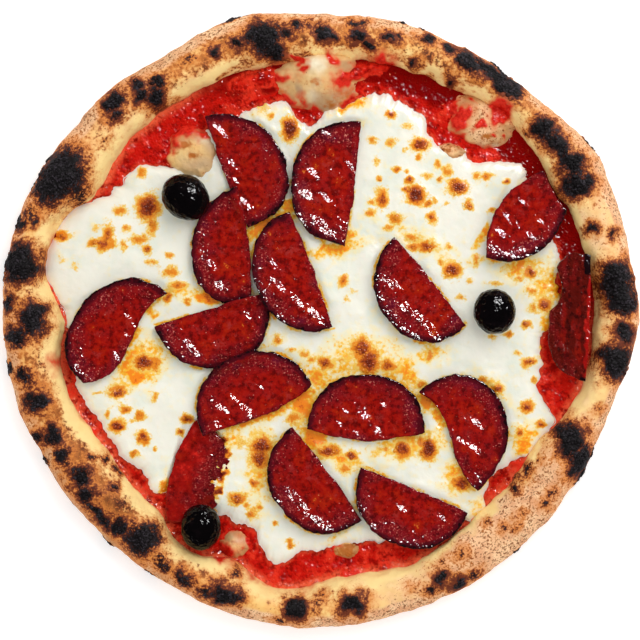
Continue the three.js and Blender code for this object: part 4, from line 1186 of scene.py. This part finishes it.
def bitten(piece, along, out, middle):
    """Share of the way out to the outline that is left clear of the slice's bites."""
    centre = np.array(from_slice(piece, 0.0, middle))
    way = np.stack(from_slice(piece, along, out), axis=-1) - centre
    length = np.linalg.norm(way, axis=-1)
    reach = length.copy()
    for place, radius in piece["bites"]:
        to_bite = np.array(place) - centre
        near = way @ to_bite / length
        inside = near**2 - to_bite @ to_bite + radius**2
        edge = near - np.sqrt(np.maximum(inside, 0))
        reach = np.where((near > 0) & (inside > 0), np.minimum(reach, edge), reach)
    return reach / length


def slice_outline(piece, number):
    """Ragged outline: the round edge from tip to tip, then the bowed cut edge."""
    half, middle = piece["length"] / 2, SLICE_MIDDLE * piece["depth"]
    turn = np.linspace(-math.pi / 2, math.pi / 2, SLICE_ROUND_STEPS, endpoint=False)
    share = np.linspace(1, -1, SLICE_CUT_STEPS, endpoint=False)
    bow = (piece["belly"] + piece["bend"] * share) * (1 - share**2)
    along = np.concatenate([half * fuller(np.sin(turn), piece["fullness"]), half * share])
    out = np.concatenate([piece["depth"] * fuller(np.cos(turn), piece["fullness"]), -bow])
    around = np.stack([along, out, np.full_like(along, 10.0 * number)], axis=-1)
    grow = lumpy(around, SLICE_RAGGEDNESS) / np.hypot(along, out - middle)
    scale = bitten(piece, along, out, middle) * (1 + grow)
    return along * scale, middle + (out - middle) * scale


def lit_hollows(x, y):
    """Height of the small hollows whose far side catches the light."""
    toward, lie = math.radians(LIGHT_AZIMUTH), math.radians(HOLLOW_TURN)
    height = np.zeros_like(x)
    for across, down, size in LIT_HOLLOWS:
        at_x, at_y = from_photo(across, down)
        dx, dy = x - at_x, y - at_y
        slope = dx * math.cos(toward) + dy * math.sin(toward)
        longways = (dx * math.cos(lie) + dy * math.sin(lie)) / (HOLLOW_STRETCH[0] * size)
        sideways = (dy * math.cos(lie) - dx * math.sin(lie)) / (HOLLOW_STRETCH[1] * size)
        height -= HOLLOW_SLOPE * slope * np.exp(-(longways**2) - sideways**2)
    return height


def slice_fields(piece, ground, along, out):
    """How near each point of a slice is to the casing, and how fatty, dull or bright red it is."""
    lengthwise = 2 * along / piece["length"]
    reach = reach_of(piece, along, out)
    ragged = 0.9 * rough(ground, 5, 88)
    to_cut = out + (piece["belly"] + piece["bend"] * lengthwise) * (1 - lengthwise**2)
    tip = 0.9 * smooth(0.84, 1.0, np.abs(lengthwise) + 0.08 * ragged)
    casing = smooth(4.0, 0.4, (1 - reach) * piece["depth"] + ragged) * smooth(-1.5, 2.5, out)
    casing = np.maximum(casing, np.maximum(0.4 * smooth(1.0, 0.0, to_cut), tip))
    outer = smooth(0.45, 0.95, np.maximum(reach, np.abs(lengthwise)))
    outer = np.maximum(outer, 0.8 * smooth(5, 0, out + piece["belly"]))
    dull, strip = np.zeros_like(out), np.zeros_like(out)
    if piece["sunk"]:
        casing *= 0.2
        outer = smooth(2, 10, out)
        dull = np.maximum(0.15, 0.5 * smooth(5, 1, covered_line(ground, out)))
        strip = np.clip(0.36 + 0.8 * rough(ground, 5, 92), 0, 1) * smooth(14, 4, out)
    if piece["lift"][0] > 2 * SLICE_THICKNESS:  # the slice that leans on the rim
        folds = rough(np.stack([along / 3, out, np.zeros_like(out)], axis=-1), 2.4, 90)
        dull = np.clip(0.8 + 0.8 * folds, 0.45, 1)
        dark_from = np.where(along < 0, 0.64, 0.9)
        corner = smooth(0.0, 0.08, np.abs(lengthwise) - dark_from) * smooth(3.6, 2.4, out)
        casing = np.maximum(1.4 * corner, 0.25 * casing)
        strip = 0.9 * smooth(1.0, 0.2, out + 0.9 * rough(ground, 4, 86)) * (1 - corner)
    dull = np.append(dull, [dull[0, 0]] * 2)  # the rings' two middles shine as the middle does
    return {"outer": outer, "strip": strip, "casing": casing, "dull": dull}


def make_slice(piece, number):
    """One slice, from its middle over the top, round its edge and back under it."""
    along, out = slice_outline(piece, number)
    middle = SLICE_MIDDLE * piece["depth"]
    edge_shares, edge_drops = zip(*EDGE_RINGS)
    share = np.append(np.linspace(0.03, 0.965, SLICE_RINGS), edge_shares)[:, None]
    drop = np.append(np.zeros(SLICE_RINGS), edge_drops)[:, None]
    along, out = along * share, middle + (out - middle) * share
    x, y = from_slice(piece, along, out)
    ground = flat(x, y)
    under = slice_underside(piece, x, y)
    relief = lumpy(ground, SLICE_RELIEF) + lit_hollows(x, y)
    top = under + SLICE_THICKNESS + relief * smooth(1.0, 0.93, share)
    for upper in slices_over(piece):
        lid = slice_underside(upper, x, y) - SLICE_GAP
        covered = outside_slice(upper, x, y) < 1.0
        top = np.where(covered, np.minimum(top, lid), top)
        under = np.where(covered, np.minimum(under, lid - SLICE_THINNEST), under)
    points = np.stack([x, y, top + (under - top) * drop], axis=-1).reshape(-1, 3)
    centre = from_slice(piece, 0.0, middle)
    points = np.vstack([points, [*centre, top[0].mean()], [*centre, under[-1].mean()]])
    fields = slice_fields(piece, ground, along, out)
    return add_piece(piece["name"], points, closed_faces(*along.shape), CHORIZO, fields)


# ---- Mozzarella ----

CHEESE_STEPS = 284
CHEESE_WAVES = [(0.8, 14, 92), (0.45, 6.5, 93), (0.12, 2.4, 94)]  # height, size and seed of each noise
CHEESE_SAG = 0.3  # how far its edge runs down below the solid's
CHEESE_WALL_FOOT = 6.9
CHEESE_SOLE = SAUCE_TOP - 0.2
CHEESE_UNDERCUT = 0.6 / 115  # how much smaller the underside is than the outline, as a share
BARE_TOP = 6.3  # the cheese under the bare part of the sunk slice
WALL_BLUSH = 0.6  # how pink the sauce makes the cheese's very edge


def sunk_shares(x, y):
    """How far a point is inside the sunk slice's bare part, inside its covered part, and how near
    it is to the line between them."""
    sunk = next(piece for piece in SLICES if piece["sunk"])
    _, out = in_slice(sunk, x, y)
    away = outside_slice(sunk, x, y)
    before = covered_line(flat(x, y), out)
    inside = smooth(1.0, 0.0, away)
    near = smooth(5.5, 1.0, np.abs(before + 1.5)) * smooth(5, 0, away)
    covered = smooth(1.5, -1.5, before + 1.2 * noise(flat(x, y), 1.8, 90))
    return inside * (1 - covered), inside * covered, near


def cheese_faces(count):
    """Faces of a square grid of points, of the wall and the sole below its border, and the border's
    points. The wall's lower row, the sole's row and the sole's middle come after the grid."""
    number = np.arange(count * count).reshape(count, count)
    squares = [number[:-1, :-1], number[1:, :-1], number[1:, 1:], number[:-1, 1:]]
    faces = np.stack(squares, axis=-1).reshape(-1, 4).tolist()
    border = np.concatenate([number[:-1, 0], number[-1, :-1], number[:0:-1, -1], number[0, :0:-1]])
    wall = number.size + np.arange(len(border))
    sole = wall + len(border)
    for upper, lower in [(border, wall), (wall, sole)]:
        faces += np.stack([upper, lower, np.roll(lower, -1), np.roll(upper, -1)], axis=-1).tolist()
    middle = np.full(len(border), sole[-1] + 1)
    return faces + np.stack([middle, np.roll(sole, -1), sole], axis=-1).tolist(), border


def make_cheese():
    """The melted cheese, on a square grid that is drawn out to its outline."""
    line = np.linspace(-1, 1, CHEESE_STEPS)
    across, up = np.meshgrid(line, line, indexing="ij")
    disc_x, disc_y = across * np.sqrt(1 - up**2 / 2), up * np.sqrt(1 - across**2 / 2)
    share, angle = np.hypot(disc_x, disc_y), np.arctan2(disc_y, disc_x)
    edge = cheese_edge(angle)
    x, y = share * edge * np.cos(angle), share * edge * np.sin(angle)
    ground = flat(x, y)
    inward = (1 - share) * edge

    # Free of the slices, the cheese waves and bubbles, and oil seeps out round them
    clear = np.min([outside_slice(piece, x, y) for piece in SLICES if not piece["sunk"]], axis=0)
    open_air = smooth(0, 3, clear)
    brown = photo_marks(x, y, BROWNED, size=3.2, reach=0.9, seed=95)
    oil = 1.12 * photo_marks(x, y, OIL, size=6, reach=2.2, seed=97)
    seeping = smooth(1.8, 0.3, clear) * smooth(-0.5, 0.4, noise(ground, 6, 100))
    bare, covered, verge = sunk_shares(x, y)

    # Rolled down at its edge, pressed flat under the bare part of the sunk slice and raised over the
    # covered part
    bumps = brown * (0.55 + 0.35 * rough(ground, 2.0, 98))
    z = cheese_top(x, y) - 0.1 * (1 - open_air) + open_air * (lumpy(ground, CHEESE_WAVES) + bumps)
    roll = np.clip(1 - inward / (1.5 * CHEESE_ROLL), 0, 1)
    z -= (CHEESE_TOP - CHEESE_EDGE_HEIGHT + CHEESE_SAG) * roll**2.5 + 0.4 * smooth(8, 0, inward) * open_air
    z = z * (1 - bare) + BARE_TOP * bare
    z += covered * (0.3 + 0.2 * rough(ground, 2.6, 99))
    top = np.stack([x, y, z], axis=-1).reshape(-1, 3)
    faces, border = cheese_faces(CHEESE_STEPS)
    wall = top[border] * [1, 1, 0] + [0, 0, CHEESE_WALL_FOOT]
    sole = top[border] * [1 - CHEESE_UNDERCUT, 1 - CHEESE_UNDERCUT, 0] + [0, 0, CHEESE_SOLE]
    points = np.vstack([top, wall, sole, [0, 0, CHEESE_SOLE]])

    browned = np.maximum(brown, verge * (0.62 + 0.6 * noise(ground, 1.8, 89)))
    bubbling = smooth(0.5, 0.85, browned + 0.25 * noise(ground, 3, 94)) * smooth(0.6, 1.6, clear)
    blush = WALL_BLUSH * smooth(2.6, 0.2, inward + 0.8 * noise(ground, 3, 96))
    fields = {
        "bubbling": bubbling * (1 - bare) * (1 - covered),
        "brown": browned,
        "oil": np.maximum(np.maximum(oil, 0.7 * seeping), 0.3 * covered),
        "blush": np.append(blush, np.full(len(points) - len(top), WALL_BLUSH)),
    }
    return add_piece("mozzarella", points, faces, MOZZARELLA, fields)


# ---- Olives ----

OLIVE_AROUND = 112
OLIVE_ROWS = 58
OLIVE_POLE = 0.04  # angle in radians between a pole and the first row
OLIVE_POLE_DEPTH = 0.1
OLIVE_USUAL_RADIUS = 10  # the wrinkles are worked out on a ball of this radius
OLIVE_DENT = (-0.55, 0.45, 0.7)  # where the stalk was, on a ball of radius 1


def make_olive(name):
    """One olive: an uneven, wrinkled egg that lies on its side."""
    (at_x, at_y), half, turn, bottom = OLIVES[name]
    down, step = rows_round(np.linspace(OLIVE_POLE, math.pi - OLIVE_POLE, OLIVE_ROWS), OLIVE_AROUND)
    ball = np.stack([np.sin(down) * np.cos(step), np.sin(down) * np.sin(step), np.cos(down)], axis=-1)
    offset = np.array([at_x, at_y, 0])
    skin = ball * OLIVE_USUAL_RADIUS + offset
    wrinkles = 0.35 * np.abs(noise(ball * OLIVE_USUAL_RADIUS * [1, 2.0, 1] + offset, 3.4, 101))
    wrinkles += 0.12 * noise(skin, 1.5, 102)
    wrinkles += 0.35 * noise(skin, 7, 103)
    dent = 0.55 * np.exp(-np.sum((ball - OLIVE_DENT) ** 2, axis=-1) / 0.02)
    points = (ball * (np.array(half) - (wrinkles + dent)[..., None])).reshape(-1, 3)
    pole = half[2] - OLIVE_POLE_DEPTH
    points = np.vstack([points, [0, 0, pole], [0, 0, -pole]])
    c, s = math.cos(math.radians(turn)), math.sin(math.radians(turn))
    points = points @ np.array([[c, s, 0], [-s, c, 0], [0, 0, 1]]) + [at_x, at_y, bottom + half[2]]
    return add_piece(name, points, closed_faces(OLIVE_ROWS, OLIVE_AROUND), OLIVE)


# ---- Small scattered things ----

DENSEST = 4e6  # points for each square metre, more than the spacing lets through
LUMP_SMALLEST = (0.7, 0.7, 0.7)
LUMP_LARGEST = (1.4, 1.4, 1.1)


def scatter_tree(name, field, flatness, material):
    """Node tree that strews small lumps over a mesh where its field is high, and its named inputs."""
    tree = bpy.data.node_groups.new(name, "GeometryNodeTree")
    for way in ("INPUT", "OUTPUT"):
        tree.interface.new_socket("Geometry", in_out=way, socket_type="NodeSocketGeometry")
    kinds = {"Spacing": "Float", "Smallest": "Float", "Largest": "Float", "Seed": "Int"}
    sockets = {
        key: tree.interface.new_socket(key, in_out="INPUT", socket_type=f"NodeSocket{kind}")
        for key, kind in kinds.items()
    }
    start = tree.nodes.new("NodeGroupInput").outputs
    thick = add(tree, "GeometryNodeInputNamedAttribute", {"Name": field}, data_type="FLOAT")
    places = add(
        tree, "GeometryNodeDistributePointsOnFaces",
        {"Mesh": start["Geometry"], "Distance Min": start["Spacing"], "Density Max": DENSEST,
         "Density Factor": thick, "Seed": start["Seed"]},
        distribute_method="POISSON",
    )
    lump = add(tree, "GeometryNodeMeshIcoSphere", {"Radius": 1.0, "Subdivisions": 2})
    grown = add(
        tree, "FunctionNodeRandomValue",
        {"Min": start["Smallest"], "Max": start["Largest"], "Seed": start["Seed"]},
        data_type="FLOAT",
    )
    smallest, largest = ((*sides[:2], sides[2] * flatness) for sides in (LUMP_SMALLEST, LUMP_LARGEST))
    longer = add(
        tree, "FunctionNodeRandomValue",
        {"Min": smallest, "Max": largest, "Seed": start["Seed"]},
        data_type="FLOAT_VECTOR",
    )
    scale = add(tree, "ShaderNodeVectorMath", {"Vector": longer, "Scale": grown}, operation="SCALE")
    turned = places.node.outputs["Rotation"]
    lumps = {"Points": places, "Instance": lump, "Rotation": turned, "Scale": scale}
    strewn = add(tree, "GeometryNodeInstanceOnPoints", lumps)
    real = add(tree, "GeometryNodeRealizeInstances", {"Geometry": strewn})
    even = add(tree, "GeometryNodeSetShadeSmooth", {"Geometry": real})
    done = add(tree, "GeometryNodeSetMaterial", {"Geometry": even, "Material": material})
    tree.links.new(done, tree.nodes.new("NodeGroupOutput").inputs["Geometry"])
    return tree, sockets


def scatter(name, ground, field, material, seed, spacing, size, flatness):
    """Small lumps strewn over a piece, as one plain mesh of true size. The spacing is the least one,
    and the size is the smallest and the largest."""
    tree, sockets = scatter_tree(name, field, flatness, material)
    smallest, largest = (across / 2 * MM for across in size)
    values = {"Spacing": spacing * MM, "Smallest": smallest, "Largest": largest, "Seed": seed}
    modifier = ground.modifiers.new(name, "NODES")
    modifier.node_group = tree
    for key, value in values.items():
        modifier[sockets[key].identifier] = value
    seen = ground.evaluated_get(bpy.context.evaluated_depsgraph_get())
    mesh = bpy.data.meshes.new_from_object(seen)
    ground.modifiers.remove(modifier)
    mesh.name = name
    return link(name, mesh)


# ---- The pizza ----


def settle(piece, slot, *nodes):
    """Fixes a piece to the pizza's one body, in place of its solids. The slot is not used."""
    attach(piece, "root")
    if nodes:
        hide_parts(*nodes)


dough = make_dough()
sauce = make_sauce()
cheese = make_cheese()
blisters = scatter(
    "char_blisters", dough, "blistered", DOUGH, seed=5, spacing=1.5, size=(0.8, 2.4), flatness=0.6
)
pulp = scatter("tomato_pulp", sauce, "strewn", TOMATO, seed=6, spacing=2.2, size=(0.7, 2.4), flatness=0.4)
browned = scatter(
    "browned_bubbles", cheese, "bubbling", MOZZARELLA, seed=7, spacing=0.9, size=(0.7, 1.8), flatness=0.45
)
settle(dough, "dough", "dough")
settle(blisters, "dough")
settle(make_bubbles(), "dough")
settle(sauce, "tomato_sauce", "tomato_sauce")
settle(pulp, "tomato_sauce")
settle(cheese, "mozzarella", "mozzarella")
settle(browned, "mozzarella")
for number, piece in enumerate(SLICES):
    settle(make_slice(piece, number), "chorizo", piece["name"])
for name in OLIVES:
    settle(make_olive(name), "olive", name)

# ---- Floor, light and camera ----

FLOOR_HALF_SIDE = 4.0  # metres
FLOOR_DROP = 0.2 * MM
LIGHT_DISTANCE = 1.2  # metres
VIEW_WIDTH = PHOTO_SIDE * PIXEL * MM
LENS = 150
SENSOR = 36
MIDDLE_HEIGHT = 8.5 * MM  # the height that the photo's scale holds at
PAPER_GLOW = 0.3
WALL_LIGHT = 0.83


def make_floor():
    """White paper, lit from below."""
    material, tree = new_material("white paper lit from below")
    paper = add(tree, "ShaderNodeBsdfDiffuse", {"Color": linear("#FBFBFB")})
    lit_through = add(tree, "ShaderNodeEmission", {"Color": linear("#FFFFFF"), "Strength": PAPER_GLOW})
    shader = add(tree, "ShaderNodeAddShader", {"Shader": paper, "Shader_001": lit_through})
    add(tree, "ShaderNodeOutputMaterial", {"Surface": shader})
    mesh = bpy.data.meshes.new("floor")
    side = FLOOR_HALF_SIDE
    corners = [(-side, -side), (side, -side), (side, side), (-side, side)]
    mesh.from_pydata([(x, y, -FLOOR_DROP) for x, y in corners], [], [(0, 1, 2, 3)])
    mesh.materials.append(material)
    floor = link("floor", mesh)


def add_light(name, elevation, size, power):
    """Square light on the photo's lit side that looks at the pizza's middle."""
    light = bpy.data.lights.new(name, "AREA")
    light.size = size
    light.energy = power
    lamp = link(name, light)
    a, e = math.radians(LIGHT_AZIMUTH), math.radians(elevation)
    toward = Vector((math.cos(a) * math.cos(e), math.sin(a) * math.cos(e), math.sin(e)))
    lamp.location = toward * LIGHT_DISTANCE
    lamp.rotation_euler = toward.to_track_quat("Z", "Y").to_euler()
    return lamp


def light_scene():
    """A wide soft box and pale walls for the shading, and a small lamp for the wet highlights."""
    soft_box = add_light("soft box", elevation=50, size=0.8, power=5.4)
    soft_box.visible_glossy = False
    lamp = add_light("highlight lamp", elevation=LIGHT_ELEVATION, size=0.34, power=25)
    lamp.visible_diffuse = False
    walls = bpy.data.worlds.new("studio")
    walls.use_nodes = True
    background = walls.node_tree.nodes["Background"].inputs
    background["Color"].default_value = linear("#FFFFFF")
    background["Strength"].default_value = WALL_LIGHT
    walls.cycles_visibility.glossy = False
    bpy.context.scene.world = walls


def place_camera():
    """Camera straight above the middle of the photo."""
    camera = bpy.data.cameras.new("camera")
    camera.lens = LENS
    camera.sensor_width = SENSOR
    eye = link("camera", camera)
    x, y = from_photo(PHOTO_SIDE / 2, PHOTO_SIDE / 2)
    height = MIDDLE_HEIGHT + VIEW_WIDTH * LENS / SENSOR
    eye.location = ((x - MIDDLE[0]) * MM, (y - MIDDLE[1]) * MM, height)
    bpy.context.scene.camera = eye


make_floor()
light_scene()
place_camera()
bpy.context.scene.view_settings.view_transform = "Standard"
